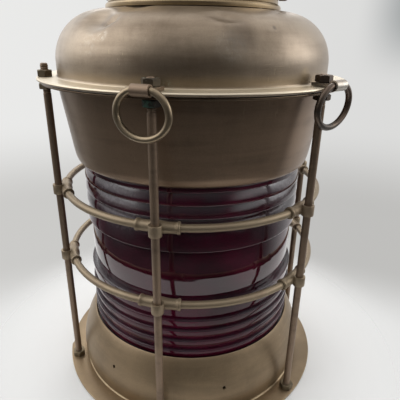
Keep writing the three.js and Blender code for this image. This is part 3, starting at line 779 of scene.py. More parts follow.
def hood_brass():
    """The hood, with a painted dark reflection band, a painted golden reflection, a painted
    highlight on its flange, painted shade under its rim and in its dents, and its scuffs
    """
    colours = bpy.context.scene.lantern_finish
    shade = toned(colours.tarnish, 0.3)
    painted_light_bands = [
        # painted dark reflection of the dark room in front, across the front of the wall
        (0.2985, 0.3085, 0.005, 0.1, shade, 0.35),
        (0.296, 0.322, 0.014, 0.1, shade, 0.3),
        # painted golden reflection of the flange, round the foot of the wall
        (0.2912, 0.297, 0.003, 1.0, colours.gold, 0.35),
        # painted highlight on the top face of the flange
        (0.2888, 0.2905, 0.0003, 1.0, colours.flange, 0.85),
        # painted shade on the lower half of the rolled rim
        (0.2855, 0.2879, 0.0004, 1.0, shade, 0.7),
    ]
    pale, painted_dent_shade = colours.scuff, colours.painted_dent_shade
    marks = [
        ((-39.9, -104.5, 322.0), 6.0, 1.0, pale, 0.3),
        ((-50.5, -102.8, 316.8), 13.0, 1.0, pale, 0.12),
        # a pale painted reflection on the right shoulder, over a soft dent
        ((47.3, -104.3, 316.7), 15.0, 0.5, pale, 0.14),
        # painted shade and dark reflection in the dents and the dimple
        ((53.6, -98.9, 321.9), 16.0, 0.4, painted_dent_shade, 0.4),
        ((-44.0, -93.0, 332.5), 9.0, 0.4, painted_dent_shade, 0.55),
        ((72.7, -78.4, 328.6), 2.5, 0.0, painted_dent_shade, 0.6),
        ((96.2, -67.6, 296.9), 8.0, 0.5, colours.gold, 0.5),
        ((8.0, -121.0, 290.5), 7.5, 1.0, colours.crust, 0.9),
    ]
    return brass("hood_brass", colours.brass, colours.tarnish, age=0.48, scuffs=0.8,
                 edge_wear=1.0, bump=0.2, metallic=0.7, coat=0.25, painted_light_bands=painted_light_bands, marks=marks)


def bowl_brass():
    """The bowl, with painted shade under its flange and painted light on its left side"""
    colours = bpy.context.scene.lantern_finish
    shade = toned(colours.bowl, 0.4)
    return brass("bowl_brass", colours.bowl, toned(colours.bowl, 0.5), patches=11.0,
                 age=0.44, gloss=0.34, scuffs=0.5, cover=0.07, bump=0.18, coat=0.1,
                 # painted shade at the top of the bowl, under its flange
                 painted_light_bands=[(0.268, 0.29, 0.014, 1.0, shade, 0.35)],
                 # painted light on the bowl's lit left side
                 marks=[((-78.0, -82.0, 245.0), 62.0, 0.35, colours.brass, 0.3)])


def painted_shade_ring_brass():
    """The bowl's flange, coloured dark all over as painted shade under the hood's rim"""
    colours = bpy.context.scene.lantern_finish
    return brass("painted_shade_ring_brass", toned(colours.bowl, 0.6), toned(colours.bowl, 0.35), patches=12.0,
                 edge_wear=0.3)


def base_brass():
    """The bell and the base flange"""
    colours = bpy.context.scene.lantern_finish
    return brass("base_brass", colours.base, toned(colours.base, 0.65), patches=12.0,
                 age=0.47, gloss=0.42, scuffs=0.4, cover=0.1, bump=0.12, metallic=0.7, coat=0.1)


def rod_brass():
    """The rods, the bail, the front strap and the lamp's stand"""
    colours = bpy.context.scene.lantern_finish
    return brass("rod_brass", colours.rod, colours.rod_tarnish, patches=30.0, age=0.4, gloss=0.45,
                 scuffs=0.3, cover=0.12, metallic=0.7, bump=0.15)


def loop_brass():
    """The front ring, rubbed smoother than the rods"""
    colours = bpy.context.scene.lantern_finish
    return brass("loop_brass", toned(colours.guard, 0.95), colours.rod_tarnish,
                 patches=40.0, age=0.4, gloss=0.3, cover=0.1, edge_wear=1.0)


def guard_brass():
    """The guard rings and their fittings"""
    colours = bpy.context.scene.lantern_finish
    return brass("guard_brass", colours.guard, colours.rod, patches=30.0, age=0.42, gloss=0.46,
                 scuffs=0.3, cover=0.1, metallic=0.65, bump=0.15)


def dark_brass():
    """The side ring and the nuts beside it"""
    colours = bpy.context.scene.lantern_finish
    return brass("dark_brass", toned(colours.rod_tarnish, 2.1), toned(colours.nut, 1.4),
                 patches=50.0, gloss=0.3, scuffs=0.6, cover=0.15, edge_wear=1.2)


def nut_brass():
    """The other nuts, and the ears"""
    colours = bpy.context.scene.lantern_finish
    return brass("nut_brass", colours.khaki, toned(colours.khaki, 0.4), patches=90.0,
                 gloss=0.45, scuffs=0.3, cover=0.25, edge_wear=1.2, metallic=0.7)


def pale_brass():
    """The side strap, pale on its fold and dark under its nut"""
    colours = bpy.context.scene.lantern_finish
    x, y = bolt_places()[1]
    marks = [((x, y, STRAP_NUT_SEAT), 15.0, 0.2, colours.nut, 1.0)]
    return brass("pale_brass", toned(colours.scuff, 0.75), colours.rod, patches=40.0, gloss=0.3,
                 marks=marks)


def golden_brass():
    """The collar and the gallery"""
    colours = bpy.context.scene.lantern_finish
    return brass("golden_brass", colours.gold, colours.tarnish, patches=10.0, age=0.45, gloss=0.3,
                 coat=0.2)


def ruby_glass():
    """Dark red glass, with dust and a painted sheen on its upward slopes, painted reflections on
    some of them, and less glossy below its belt
    """
    found = bpy.data.materials.get("ruby_glass")
    if found:
        return found
    colours = bpy.context.scene.lantern_finish
    material, tree, shader, coords = new_material("ruby_glass")
    shader.inputs["Metallic"].default_value = 0.0
    shader.inputs["Transmission Weight"].default_value = 0.3
    shader.inputs["IOR"].default_value = 1.52
    facing = split_axes(tree, tree.nodes.new("ShaderNodeNewGeometry").outputs["Normal"])
    height = split_axes(tree, coords)["Z"]
    tree.links.new(ranged(tree, height, 0.106, 0.112, 0.3, 0.9),
                   shader.inputs["Specular IOR Level"])
    cloud = ranged(tree, noise_node(tree, coords, 16.0, 3.0), 0.3, 0.7, 0.4, 1.5)
    colour = dimmed(tree, colours.glass, cloud)
    # dust and a painted sheen on the upward-facing slopes
    slope = ranged(tree, facing["Z"], 0.03, 0.3)
    spread = ranged(tree, noise_node(tree, coords, 22.0, 5.0, 0.65), 0.35, 0.65, 0.15, 0.9)
    dust_and_sheen = maths(tree, "MULTIPLY", slope, spread)
    colour = blended(tree, dust_and_sheen, colour, colours.dust_and_sheen)
    # painted reflections of bright windows on the upward slopes
    for centre, reach, strength in LENS_REFLECTIONS:
        mask = maths(tree, "MULTIPLY", marked(tree, coords, centre, reach, 0.35), slope)
        mask = maths(tree, "MULTIPLY", mask, strength)
        colour = blended(tree, mask, colour, colours.painted_reflection)
        dust_and_sheen = maths(tree, "MAXIMUM", dust_and_sheen, mask)
    tree.links.new(colour, shader.inputs["Base Color"])
    tree.links.new(ranged(tree, dust_and_sheen, 0.0, 1.0, 0.05, 0.24), shader.inputs["Roughness"])
    ripple = noise_node(tree, stretched(tree, coords, (1, 1, 3)), 30.0, 2.0)
    bumped(tree, shader, ripple, 0.2, 0.0008)
    return material


def plain_finish(name, colour, roughness, grain, strength, transmission=0.0):
    """A non-metal finish with its own small variation"""
    found = bpy.data.materials.get(name)
    if found:
        return found
    material, tree, shader, coords = new_material(name)
    shader.inputs["Metallic"].default_value = 0.0
    shader.inputs["Transmission Weight"].default_value = transmission
    soft = noise_node(tree, coords, grain, 5.0, 0.65)
    shade = ranged(tree, soft, 0.3, 0.7, 0.8, 1.2)
    tree.links.new(dimmed(tree, colour, shade), shader.inputs["Base Color"])
    tree.links.new(ranged(tree, soft, 0.3, 0.7, roughness * 0.85, min(roughness * 1.15, 1.0)),
                   shader.inputs["Roughness"])
    bumped(tree, shader, soft, strength)
    return material


# Pieces

def ledged(outer, ledge):
    """The closed outline of a wall that rises along the points, with its ledge inside"""
    inner = list(reversed(far_side(outer, -SHEET)))
    reach, low, high = ledge
    above = [point for point in inner if point[1] > high + GAP]
    below = [point for point in inner if point[1] < low - GAP]
    return (outer + above + [(above[-1][0], high), (reach, high), (reach, low),
                             (below[0][0], low)] + below)


def ring_outline(inner, outer, low, high):
    """The outline of a flat ring or of a straight wall"""
    return [(inner, low), (outer, low), (outer, high), (inner, high)]


def sheet_mesh(outline, sizes, name):
    """Sheet metal turned from its outline, its edges a little rounded"""
    return to_mesh(spun(outline, sizes.facets, sizes.edge_round / MM), name)


def flange_mesh(inner, outer, low, high, sizes):
    """A flat ring of sheet with its six bolt holes"""
    mesh = sheet_mesh(ring_outline(inner, outer, low, high), sizes, "flange")
    return carved(mesh, bolt_holes(low - SHEET, high + SHEET))


class LANTERN_OT_base(bpy.types.Operator):
    """Build the base flange and the bell with its ledge and drain holes"""
    bl_idname = "lantern.base"
    bl_label = "Base"

    def execute(self, context):
        sizes = context.scene.lantern_sizes
        foot = flange_mesh(BASE_FLANGE_INNER, BASE_RADIUS, 0.0, SHEET, sizes)
        waved(foot, 0.0, dents=BASE_DENTS)
        for vert in foot.vertices:
            vert.co.z = max(vert.co.z, 0.0)
        place("foot_flange", foot, base_brass(), "casing", ROOT, ["base_flange"])
        outer = BELL_BEAD + smooth_line(BELL_LINE, 4)[3:]
        mesh = sheet_mesh(ledged(outer, BELL_LEDGE), sizes, "bell")
        waved(mesh, sizes.unevenness / MM, WAVE_SCALES["bell"])
        for turn, height in DRAINS:
            drain = side_cylinder(DRAIN_RADIUS, ROD_ANGLES[0] + turn, height, *DRAIN_REACH)
            mesh = carved(mesh, drain)
        place("bell_wall", mesh, base_brass(), "casing", ROOT, ["base_bell"])
        return {"FINISHED"}


class LANTERN_OT_seals(bpy.types.Operator):
    """Build the two lens seals and the seal between the flanges"""
    bl_idname = "lantern.seals"
    bl_label = "Seals"

    def execute(self, context):
        sizes = context.scene.lantern_sizes
        colours = context.scene.lantern_finish
        finish = plain_finish("cork_seal", colours.seal, 0.85, 420.0, 0.7)
        for node, ring in SEALS.items():
            mesh = to_mesh(spun(ring_outline(*ring), sizes.facets, SEAL_ROUND), node)
            if node == "flange_gasket":
                mesh = carved(mesh, bolt_holes(*UPPER_HOLES))
            place(f"{node}_ring", mesh, finish, "seal", ROOT, [node])
        return {"FINISHED"}


def lens_half():
    """Half of the lens outline from its middle outwards"""
    root, crest, first, shoulder, pitch = 100.6, 103.2, 23.6, 41.7, 11.0
    belt_radius, belt_hollow, steps = 100.3, 2.3, 10
    belt = [(belt_radius - belt_hollow * (i / steps) ** 2, first * i / steps)
            for i in range(steps + 1)]
    line = belt + [(98.6, first + 0.05), (101.3, first + 0.25), (102.6, first + 0.55),
                   (103.1, first + 1.0), (crest, first + 1.5)]
    line += [(102.9, first + 4.5), (102.3, first + 9.0), (101.5, first + 14.0), (root, shoulder)]
    for i in range(4):
        foot = shoulder + i * pitch
        line += [(root + 0.4, foot + 0.05), (101.9, foot + 0.2), (102.8, foot + 0.55),
                 (103.1, foot + 1.0), (crest, foot + 1.5), (102.85, foot + 4.0),
                 (102.2, foot + 7.0), (101.3, foot + 9.6), (root, foot + pitch)]
    return line


class LANTERN_OT_lens(bpy.types.Operator):
    """Build the ribbed drum lens"""
    bl_idname = "lantern.lens"
    bl_label = "Drum Lens"

    def execute(self, context):
        half = lens_half()
        upper = [(radius, LENS_MIDDLE + rise) for radius, rise in half]
        lower = [(radius, LENS_MIDDLE - rise) for radius, rise in reversed(half[1:])]
        outline = [(LENS_INNER, LENS_BOTTOM), (LENS_RADIUS, LENS_BOTTOM),
                   (LENS_RADIUS, lower[0][1] - GAP)] + lower + upper
        outline += [(LENS_RADIUS, upper[-1][1] + GAP), (LENS_RADIUS, LENS_TOP),
                    (LENS_INNER, LENS_TOP)]
        mesh = to_mesh(spun(outline, context.scene.lantern_sizes.facets), "drum_lens")
        place("drum_lens", mesh, ruby_glass(), "red_lens", ROOT, ["fresnel_lens"], 40 * DEGREE)
        return {"FINISHED"}


class LANTERN_OT_bowl(bpy.types.Operator):
    """Build the bowl above the lens with its flange and ledge"""
    bl_idname = "lantern.bowl"
    bl_label = "Bowl"

    def execute(self, context):
        sizes = context.scene.lantern_sizes
        outer = smooth_line(BOWL_LINE, 4)
        mesh = sheet_mesh(ledged(outer, BOWL_LEDGE), sizes, "bowl")
        waved(mesh, sizes.unevenness / MM, WAVE_SCALES["bowl"])
        place("bowl_wall", mesh, bowl_brass(), "casing", ROOT, ["upper_bowl"])
        flange = flange_mesh(*BOWL_FLANGE, sizes)
        place("bowl_ring", flange, painted_shade_ring_brass(), "casing", ROOT, ["bowl_flange"])
        return {"FINISHED"}


class LANTERN_OT_hood(bpy.types.Operator):
    """Build the dented hood with its rolled rim"""
    bl_idname = "lantern.hood"
    bl_label = "Hood"

    def execute(self, context):
        sizes = context.scene.lantern_sizes
        rim_radius, rim_height, rim = HOOD_RIM
        foot = arc((HOOD_WALL + HOOD_FOOT, HOOD_FLANGE_TOP + HOOD_FOOT), HOOD_FOOT,
                   -TURN / 4, -TURN / 2, 6)
        wall = [(HOOD_WALL, HOOD_FLANGE_TOP + HOOD_FOOT + HOOD_WALL_STEP * i) for i in range(1, 4)]
        shoulder = arc((HOOD_WALL - HOOD_SHOULDER, HOOD_WALL_TOP), HOOD_SHOULDER, 0, TURN / 4, 30)
        line = [(HOOD_FLANGE_MIDDLE, HOOD_FLANGE_TOP)] + foot + wall + shoulder
        line += [HOOD_CROWN, HOOD_MOUTH]
        inner = list(reversed(far_side(line, -SHEET)))
        rolled = arc((rim_radius, rim_height), rim, -TURN / 2 + 0.5, TURN / 4 + 0.2, 12)
        outline = inner + [(rim_radius - rim, HOOD_FLANGE_TOP - SHEET)] + rolled + line
        mesh = sheet_mesh(outline, sizes, "hood_dome")
        waved(mesh, sizes.unevenness / MM, WAVE_SCALES["hood"], HOOD_DENTS)
        mesh = carved(mesh, bolt_holes(*UPPER_HOLES))
        place("hood_dome", mesh, hood_brass(), "casing", ROOT, ["hood"])
        return {"FINISHED"}


def window_tool():
    """The tool that cuts the gallery's windows, with round corners"""
    width, height, sill, count = WINDOW
    _, outer, low, _ = GALLERY
    bm = bmesh.new()
    for i in range(count):
        matrix = (Matrix.Rotation((i + 0.5) * TURN / count, 4, "Z")
                  @ Matrix.Translation((outer, 0, low + sill + height / 2))
                  @ Matrix.Diagonal((WINDOW_CUT, width, height, 1)))
        made = bmesh.ops.create_cube(bm, size=1, matrix=matrix)
        corners = [edge for edge in bm.edges if edge.verts[0] in made["verts"]
                   and abs((edge.verts[0].co - edge.verts[1].co).z) < 1
                   and (edge.verts[0].co - edge.verts[1].co).length < WINDOW_CUT + 1]
        bmesh.ops.bevel(bm, geom=corners, offset=WINDOW_CORNER, segments=4, profile=0.5,
                        affect="EDGES", material=-1)
    return to_mesh(bm, "windows")


class LANTERN_OT_vent(bpy.types.Operator):
    """Build the collar, the windowed gallery and the cap"""
    bl_idname = "lantern.vent"
    bl_label = "Vent"

    def execute(self, context):
        sizes = context.scene.lantern_sizes
        inner, outer, low, high = COLLAR
        inset, drop = COLLAR_TAPER
        collar = [(inner, low), (outer, low), (outer, low + COLLAR_WALL),
                  (outer - inset, high - drop), (GALLERY[1], high), (inner, high)]
        mesh = sheet_mesh(collar, sizes, "vent_ring")
        place("vent_ring", mesh, golden_brass(), "worn", ROOT, ["vent_collar"])
        mesh = carved(sheet_mesh(ring_outline(*GALLERY), sizes, "gallery_wall"), window_tool())
        place("gallery_wall", mesh, golden_brass(), "worn", ROOT, ["vent_gallery"])
        rise = [(share * CAP_RADIUS, up) for share, up in CAP_RISE_SHARES] + [CAP_NECK]
        outline = [(radius, CAP_RIM + up)
                   for radius, up in CAP_UNDER + smooth_line(rise, 5) + CAP_KNOB]
        mesh = sheet_mesh(outline, sizes, "vent_lid")
        waved(mesh, sizes.unevenness / MM * 0.5, WAVE_SCALES["cap"])
        place("vent_lid", mesh, casing_brass(), "casing", ROOT, ["vent_cap"])
        return {"FINISHED"}


class LANTERN_OT_bail(bpy.types.Operator):
    """Build the bail and the two ears that carry it"""
    bl_idname = "lantern.bail"
    bl_label = "Bail"

    def execute(self, context):
        corner = arc((BAIL_SIDE - BAIL_BEND, BAIL_BEND), BAIL_BEND, -TURN / 4, 0, 6)
        side = BAIL_ENDS + corner + [(BAIL_SIDE, BAIL_LEG), (BAIL_SIDE, BAIL_ARCH_FOOT)]
        arch = [(BAIL_SIDE * math.cos(i * TURN / 128),
                 BAIL_ARCH_FOOT + BAIL_ARCH_RISE * math.sin(i * TURN / 128))
                for i in range(1, 64)]
        half = [(x, 0, BAIL_PIVOT + z) for x, z in side]
        over = [(x, 0, BAIL_PIVOT + z) for x, z in arch]
        points = half + over + [(-x, y, z) for x, y, z in reversed(half)]
        place("bail_bar", wire_mesh(points, BAIL_WIRE, name="bail_bar"), rod_brass(), "guard",
              "bail", ["bail"])
        for i, angle in enumerate((0.0, TURN / 2)):
            matrix = (Matrix.Rotation(angle, 4, "Z") @ Matrix.Translation((0, 0, BAIL_PIVOT))
                      @ Matrix.Rotation(TURN / 4, 4, "Y"))
            mesh = to_mesh(spun(EAR_LINE, 40, EAR_ROUND), "ear", matrix)
            place(f"bail_boss_{i + 1}", mesh, nut_brass(), "dark", ROOT, [f"bail_ear_{i + 1}"])
        return {"FINISHED"}


class LANTERN_OT_guard_rings(bpy.types.Operator):
    """Build the two tube rings of the guard"""
    bl_idname = "lantern.guard_rings"
    bl_label = "Guard Rings"

    def execute(self, context):
        for level, height in GUARD_HEIGHTS.items():
            outline = arc((GUARD_RADIUS, height), GUARD_TUBE, 0, TURN * 23 / 24, 23)
            mesh = to_mesh(spun(outline, context.scene.lantern_sizes.facets), "guard_tube")
            place(f"guard_tube_{level}", mesh, guard_brass(), "guard", ROOT,
                  [f"guard_ring_{level}"])
        return {"FINISHED"}


def bent(mesh):
    """Bends a piece that stands on Z so that it lies along the guard ring"""
    for vert in mesh.vertices:
        across, up, along = vert.co
        angle = along / GUARD_RADIUS
        reach = GUARD_RADIUS + across
        vert.co = (reach * math.cos(angle), reach * math.sin(angle), up)
    return mesh


class LANTERN_OT_fittings(bpy.types.Operator):
    """Build the cast cross fittings that tie the rings to the rods"""
    bl_idname = "lantern.fittings"
    bl_label = "Cross Fittings"

    def execute(self, context):
        half = [(SLEEVE_BORE, -17), (4.4, -17), (4.9, -16.7), (5.0, -16.2), (5.0, -15.3),
                (4.85, -14.8), (4.5, -14.5), (4.42, -12.0), (4.4, -9.0), (4.5, -6.5), (4.8, -4.5),
                (5.1, -2.5), (5.2, 0.0)]
        outline = half + [(radius, -along) for radius, along in reversed(half[:-1])]
        inside = [(SLEEVE_BORE, along) for along in range(12, -13, -4)]
        sleeve = bent(to_mesh(spun(outline + inside, 28), "sleeve"))
        collar = [(0.0, -4.5), (4.9, -4.5), (5.1, -4.1), (5.1, 4.1), (4.9, 4.5), (0.0, 4.5)]
        block = to_mesh(spun(collar, 28), "collar", Matrix.Translation((BOLT_RADIUS, 0, 0)))
        mesh = carved(sleeve, block, "UNION")
        mesh = carved(mesh, cylinders(FITTING_HOLE, -8, 8, [(BOLT_RADIUS, 0)]))
        for level, height in GUARD_HEIGHTS.items():
            for i, angle in enumerate(ROD_ANGLES):
                copy = mesh.copy()
                copy.transform(Matrix.Translation((0, 0, height)) @ Matrix.Rotation(angle, 4, "Z"))
                place(f"ring_joint_{level}_{i + 1}", copy, guard_brass(), "guard", ROOT,
                      [f"cross_fitting_{level}_{i + 1}"], 50 * DEGREE)
        bpy.data.meshes.remove(mesh)
        return {"FINISHED"}


def nut_seat(index):
    """How high the nut over the hood sits: a strap lifts it"""
    return STRAP_NUT_SEAT if index in [rod for rod, _, _ in STRAPS] else NUT_SEAT


def rod_top(index):
    """How high a rod stands: its thread hardly shows above a nut that clamps a strap"""
    seat = nut_seat(index)
    return seat + (STRAP_NUT_RISE if seat == STRAP_NUT_SEAT else NUT_RISE)


def threaded(bottom, top, pitch):
    """The outline of a thread between two heights"""
    count = max(int((top - bottom) / pitch), 1)
    line = []
    for i in range(count):
        foot = bottom + i * pitch
        line += [(ROD_RADIUS - THREAD_DEPTH, foot), (ROD_RADIUS, foot + 0.45 * pitch),
                 (ROD_RADIUS, foot + 0.6 * pitch)]
    return line


class LANTERN_OT_rods(bpy.types.Operator):
    """Build the six guard rods with their threaded ends"""
    bl_idname = "lantern.rods"
    bl_label = "Guard Rods"

    def execute(self, context):
        pitch = context.scene.lantern_sizes.thread_pitch / MM
        for i, (x, y) in enumerate(bolt_places()):
            top = rod_top(i)
            outline = [(0, 0.0), (ROD_TIP, 0.0)] + threaded(*FOOT_THREAD, pitch)
            outline += [(ROD_RADIUS, height) for height in SHANK_HEIGHTS]
            outline += threaded(HEAD_THREAD_START, top - 0.8, pitch)
            outline += [(ROD_TIP, top - 0.35), (ROD_TIP_TOP, top), (0, top)]
            mesh = to_mesh(spun(outline, 32), "rod", Matrix.Translation((x, y, 0)))
            place(f"guard_bar_{i + 1}", mesh, rod_brass(), "guard", ROOT, [f"guard_rod_{i + 1}"])
        return {"FINISHED"}


def nut_mesh(height):
    """A hexagon nut with turned corners, standing on the XY plane"""
    corner = NUT_FLATS / math.sqrt(3)
    bm = bmesh.new()
    bmesh.ops.create_cone(bm, cap_ends=True, segments=6, radius1=corner, radius2=corner,
                          depth=height, matrix=Matrix.Translation((0, 0, height / 2)))
    block = to_mesh(bm, "nut")
    lathe = [(0, 0), (5.6, 0), (corner, 0.55), (corner, height - 0.75), (5.35, height),
             (0, height)]
    block = carved(block, to_mesh(spun(lathe, 48), "corners"), "INTERSECT")
    block = carved(block, cylinders(ROD_RADIUS + 0.12, -1, height + 1, [(0, 0)]))
    bm = bmesh.new()
    bm.from_mesh(block)
    bpy.data.meshes.remove(block)
    round_edges(bm, 0.35, 2, 40 * DEGREE)
    return to_mesh(bm, "nut")


class LANTERN_OT_nuts(bpy.types.Operator):
    """Build the nuts above and below the flanges and on the base"""
    bl_idname = "lantern.nuts"
    bl_label = "Nuts"

    def execute(self, context):
        tall, low = nut_mesh(NUT_HEIGHT), nut_mesh(UNDER_NUT_HEIGHT)
        colours = context.scene.lantern_finish
        special = {
            ("top", 0): brass("crusted_nut", toned(colours.khaki, 0.5), colours.nut,
                              patches=60.0, gloss=0.5, cover=0.45, bloom=colours.crust,
                              edge_wear=2.6),
            ("under", 0): brass("green_nut", colours.nut, colours.nut, patches=60.0, gloss=0.6,
                                cover=0.85, edge_wear=0.3),
            ("top", 1): dark_brass(),
            ("under", 1): dark_brass(),
        }
        for i, angle in enumerate(ROD_ANGLES):
            seats = {
                "top": (tall, nut_seat(i)),
                "under": (low, UNDER_NUT_SEAT),
                "foot": (tall, FOOT_NUT_SEAT),
            }
            for level, (mesh, seat) in seats.items():
                copy = mesh.copy()
                copy.transform(Matrix.Rotation(angle, 4, "Z")
                               @ Matrix.Translation((BOLT_RADIUS, 0, seat)))
                finish = special.get((level, i)) or nut_brass()
                place(f"hex_{level}_{i + 1}", copy, finish, "dark", ROOT,
                      [f"{level}_nut_{i + 1}"])
        for mesh in (tall, low):
            bpy.data.meshes.remove(mesh)
        return {"FINISHED"}


def at_rod(rod, turn):
    """Turns a piece on its rod and brings both to their place round the lantern"""
    return (Matrix.Rotation(ROD_ANGLES[rod], 4, "Z") @ Matrix.Translation((BOLT_RADIUS, 0, 0))
            @ Matrix.Rotation(turn, 4, "Z") @ Matrix.Translation((-BOLT_RADIUS, 0, 0)))


def strap_mesh():
    """Sheet folded round the hoist ring, its two leaves flat on each other"""
    reach, height, radius = KNUCKLE
    leaf = STRAP_SHEET / 2 + 0.02
    upper = [(STRAP_TAIL, height + leaf), (reach - radius - 1.2, height + leaf)]
    lower = [(point[0], 2 * height - point[1]) for point in reversed(upper)]
    eye = arc((reach, height), radius, TURN / 2 - STRAP_FOLD, -TURN / 2 + STRAP_FOLD, 28)
    line = upper + eye + lower
    outline = far_side(line, -STRAP_SHEET / 2) + list(reversed(far_side(line, STRAP_SHEET / 2)))
    bm = bmesh.new()
    face = bm.faces.new([bm.verts.new((x, -STRAP_WIDTH / 2, z)) for x, z in outline])
    made = bmesh.ops.extrude_face_region(bm, geom=[face])
    moved = [item for item in made["geom"] if isinstance(item, bmesh.types.BMVert)]
    bmesh.ops.translate(bm, verts=moved, vec=(0, STRAP_WIDTH, 0))
    bmesh.ops.recalc_face_normals(bm, faces=bm.faces)
    round_edges(bm, 0.12, 1, 60 * DEGREE)
    mesh = to_mesh(bm, "strap")
    return carved(mesh, cylinders(ROD_RADIUS + 0.2, height - 4, height + 4, [(BOLT_RADIUS, 0)]))


def hoist_points(lean):
    """The hoist ring's line, hanging from its straight stretch and leaning in"""
    half = math.asin(HOIST_FLAT / 2 / HOIST_HALF_WIDTH)
    drop = HOIST_HALF_HEIGHT * math.cos(half)
    hang = Matrix.Translation((KNUCKLE[0], 0, KNUCKLE[1])) @ Matrix.Rotation(lean, 4, "Y")
    steps = 72
    line = [Vector((0, share * HOIST_FLAT / 2, 0)) for share in (-0.94, -0.5, 0, 0.5, 0.94)]
    for i in range(1, steps):
        angle = half + (TURN - 2 * half) * i / steps
        line.append(Vector((0, HOIST_HALF_WIDTH * math.sin(angle),
                            HOIST_HALF_HEIGHT * math.cos(angle) - drop)))
    return [hang @ point for point in line]


class LANTERN_OT_hoist_rings(bpy.types.Operator):
    """Build the folded straps and the rings that hang in them"""
    bl_idname = "lantern.hoist_rings"
    bl_label = "Hoist Rings"

    def execute(self, context):
        finishes = [(rod_brass(), loop_brass()), (pale_brass(), dark_brass())]
        for i, (rod, turn, lean) in enumerate(STRAPS):
            strap_finish, ring_finish = finishes[i]
            strap = strap_mesh()
            strap.transform(at_rod(rod, turn))
            place(f"folded_strap_{i + 1}", strap, strap_finish, "guard", ROOT,
                  [f"ring_strap_{i + 1}"])
            points = [at_rod(rod, turn) @ point for point in hoist_points(lean)]
            ring = wire_mesh(points, HOIST_WIRE, True, "ring")
            place(f"lifting_ring_{i + 1}", ring, ring_finish, "guard", f"hoist_ring_{i + 1}",
                  [f"hoist_ring_{i + 1}"])
        return {"FINISHED"}


class LANTERN_OT_lamp(bpy.types.Operator):
    """Build the lamp on its stand"""
    bl_idname = "lantern.lamp"
    bl_label = "Lamp"

    def execute(self, context):
        sizes = context.scene.lantern_sizes
        colours = context.scene.lantern_finish
        hole_radius, hole_reach = CABLE_HOLE
        mesh = to_mesh(spun(STAND_LINE, sizes.facets, STAND_ROUND), "post")
        mesh = carved(mesh, cylinders(hole_radius, -2, 6, [(0, hole_reach)]))
        place("lamp_post", mesh, rod_brass(), "dark", ROOT, ["lamp_stand"])
        finish = plain_finish("glazed_porcelain", colours.porcelain, 0.2, 40.0, 0.15)
        mesh = to_mesh(spun(HOLDER_LINE, 64, HOLDER_ROUND), "socket")
        place("lamp_socket", mesh, finish, "porcelain", ROOT, ["lamp_holder"])
        start = -math.acos(BULB_NECK / BULB_RADIUS)
        globe = arc((0, BULB_MIDDLE), BULB_RADIUS, start, TURN / 4, 40)
        globe[-1] = (0, BULB_MIDDLE + BULB_RADIUS)
        neck = [(0, BULB_FOOT), (BULB_NECK, BULB_FOOT), (BULB_NECK, BULB_NECK_TOP)]
        finish = plain_finish("bulb_glass", colours.bulb, 0.06, 25.0, 0.05, 0.95)
        place("lamp_globe", to_mesh(spun(neck + globe, 64), "globe"), finish, "bulb_glass", ROOT,
              ["lamp_bulb"])
        return {"FINISHED"}


def area_lamp(name, location, target, size, power):
    """A soft lamp that points at its target"""
    data = bpy.data.lights.new(name, "AREA")
    data.shape = "RECTANGLE"
    data.size, data.size_y = size
    data.energy = power
    lamp = bpy.data.objects.new(name, data)
    lamp.location = location
    lamp.rotation_euler = (Vector(target) - Vector(location)).to_track_quat("-Z", "Y").to_euler()
    bpy.context.scene.collection.objects.link(lamp)


def floor_card(stage):
    """A pale floor that, for the camera only, fades into the background"""
    material, tree, shader, coords = new_material("floor_card")
    shader.inputs["Base Color"].default_value = (*stage.floor, 1.0)
    shader.inputs["Roughness"].default_value = 0.9
    shader.inputs["Specular IOR Level"].default_value = 0.1
    length = tree.nodes.new("ShaderNodeVectorMath")
    length.operation = "LENGTH"
    tree.links.new(coords, length.inputs[0])
    far = ranged(tree, length.outputs["Value"], FLOOR_FADE_START, stage.floor_radius)
    rays = tree.nodes.new("ShaderNodeLightPath")
    fade = maths(tree, "MULTIPLY", far, rays.outputs["Is Camera Ray"])
    clear = tree.nodes.new("ShaderNodeBsdfTransparent")
    mixed = tree.nodes.new("ShaderNodeMixShader")
    tree.links.new(fade, mixed.inputs[0])
    tree.links.new(shader.outputs[0], mixed.inputs[1])
    tree.links.new(clear.outputs[0], mixed.inputs[2])
    tree.links.new(mixed.outputs[0], tree.nodes["Material Output"].inputs["Surface"])
    return material


def studio_world(stage):
    """A pale card for the camera, darkened by painted shade at half height and darker towards the
    right and in the upper right corner; for the metal, a room bright above and behind, dark in
    front
    """
    world = bpy.data.worlds.new("studio")
    world.use_nodes = True
    tree = world.node_tree
    rays = tree.nodes.new("ShaderNodeLightPath")
    axes = split_axes(tree, tree.nodes.new("ShaderNodeTexCoord").outputs["Generated"])
    x, z = axes["X"], axes["Z"]
    levels = [ranged(tree, axes[axis], *change) for axis, *change in ROOM_LIGHT]
    level = levels[0]
    for more in levels[1:]:
        level = maths(tree, "ADD", level, more)
    left, right = (maths(tree, "MULTIPLY", ranged(tree, x, *across), ranged(tree, z, *heights))
                   for across, heights in SIDE_LIGHT)
    level = maths(tree, "ADD", level, maths(tree, "ADD", left, right))
    side = ranged(tree, x, -0.6, 0.25, 1.0, 0.0)
    # painted shade across the backdrop at half height
    seen = blended(tree, ranged(tree, z, -0.36, -0.18), stage.middle, stage.high)
    seen = blended(tree, 1.0, seen, ranged_grey(tree, side, 0.87, 1.0), "MULTIPLY")
    seen = blended(tree, ranged(tree, z, -0.58, -0.47), stage.low, seen)
    edge = maths(tree, "MULTIPLY", ranged(tree, x, 0.14, 0.27), ranged(tree, z, -0.1, 0.06))
    seen = blended(tree, edge, seen, stage.corner)
    colour = blended(tree, rays.outputs["Is Camera Ray"], ranged_grey(tree, level, 0.0, 1.0), seen)
    tree.links.new(colour, tree.nodes["Background"].inputs["Color"])
    return world


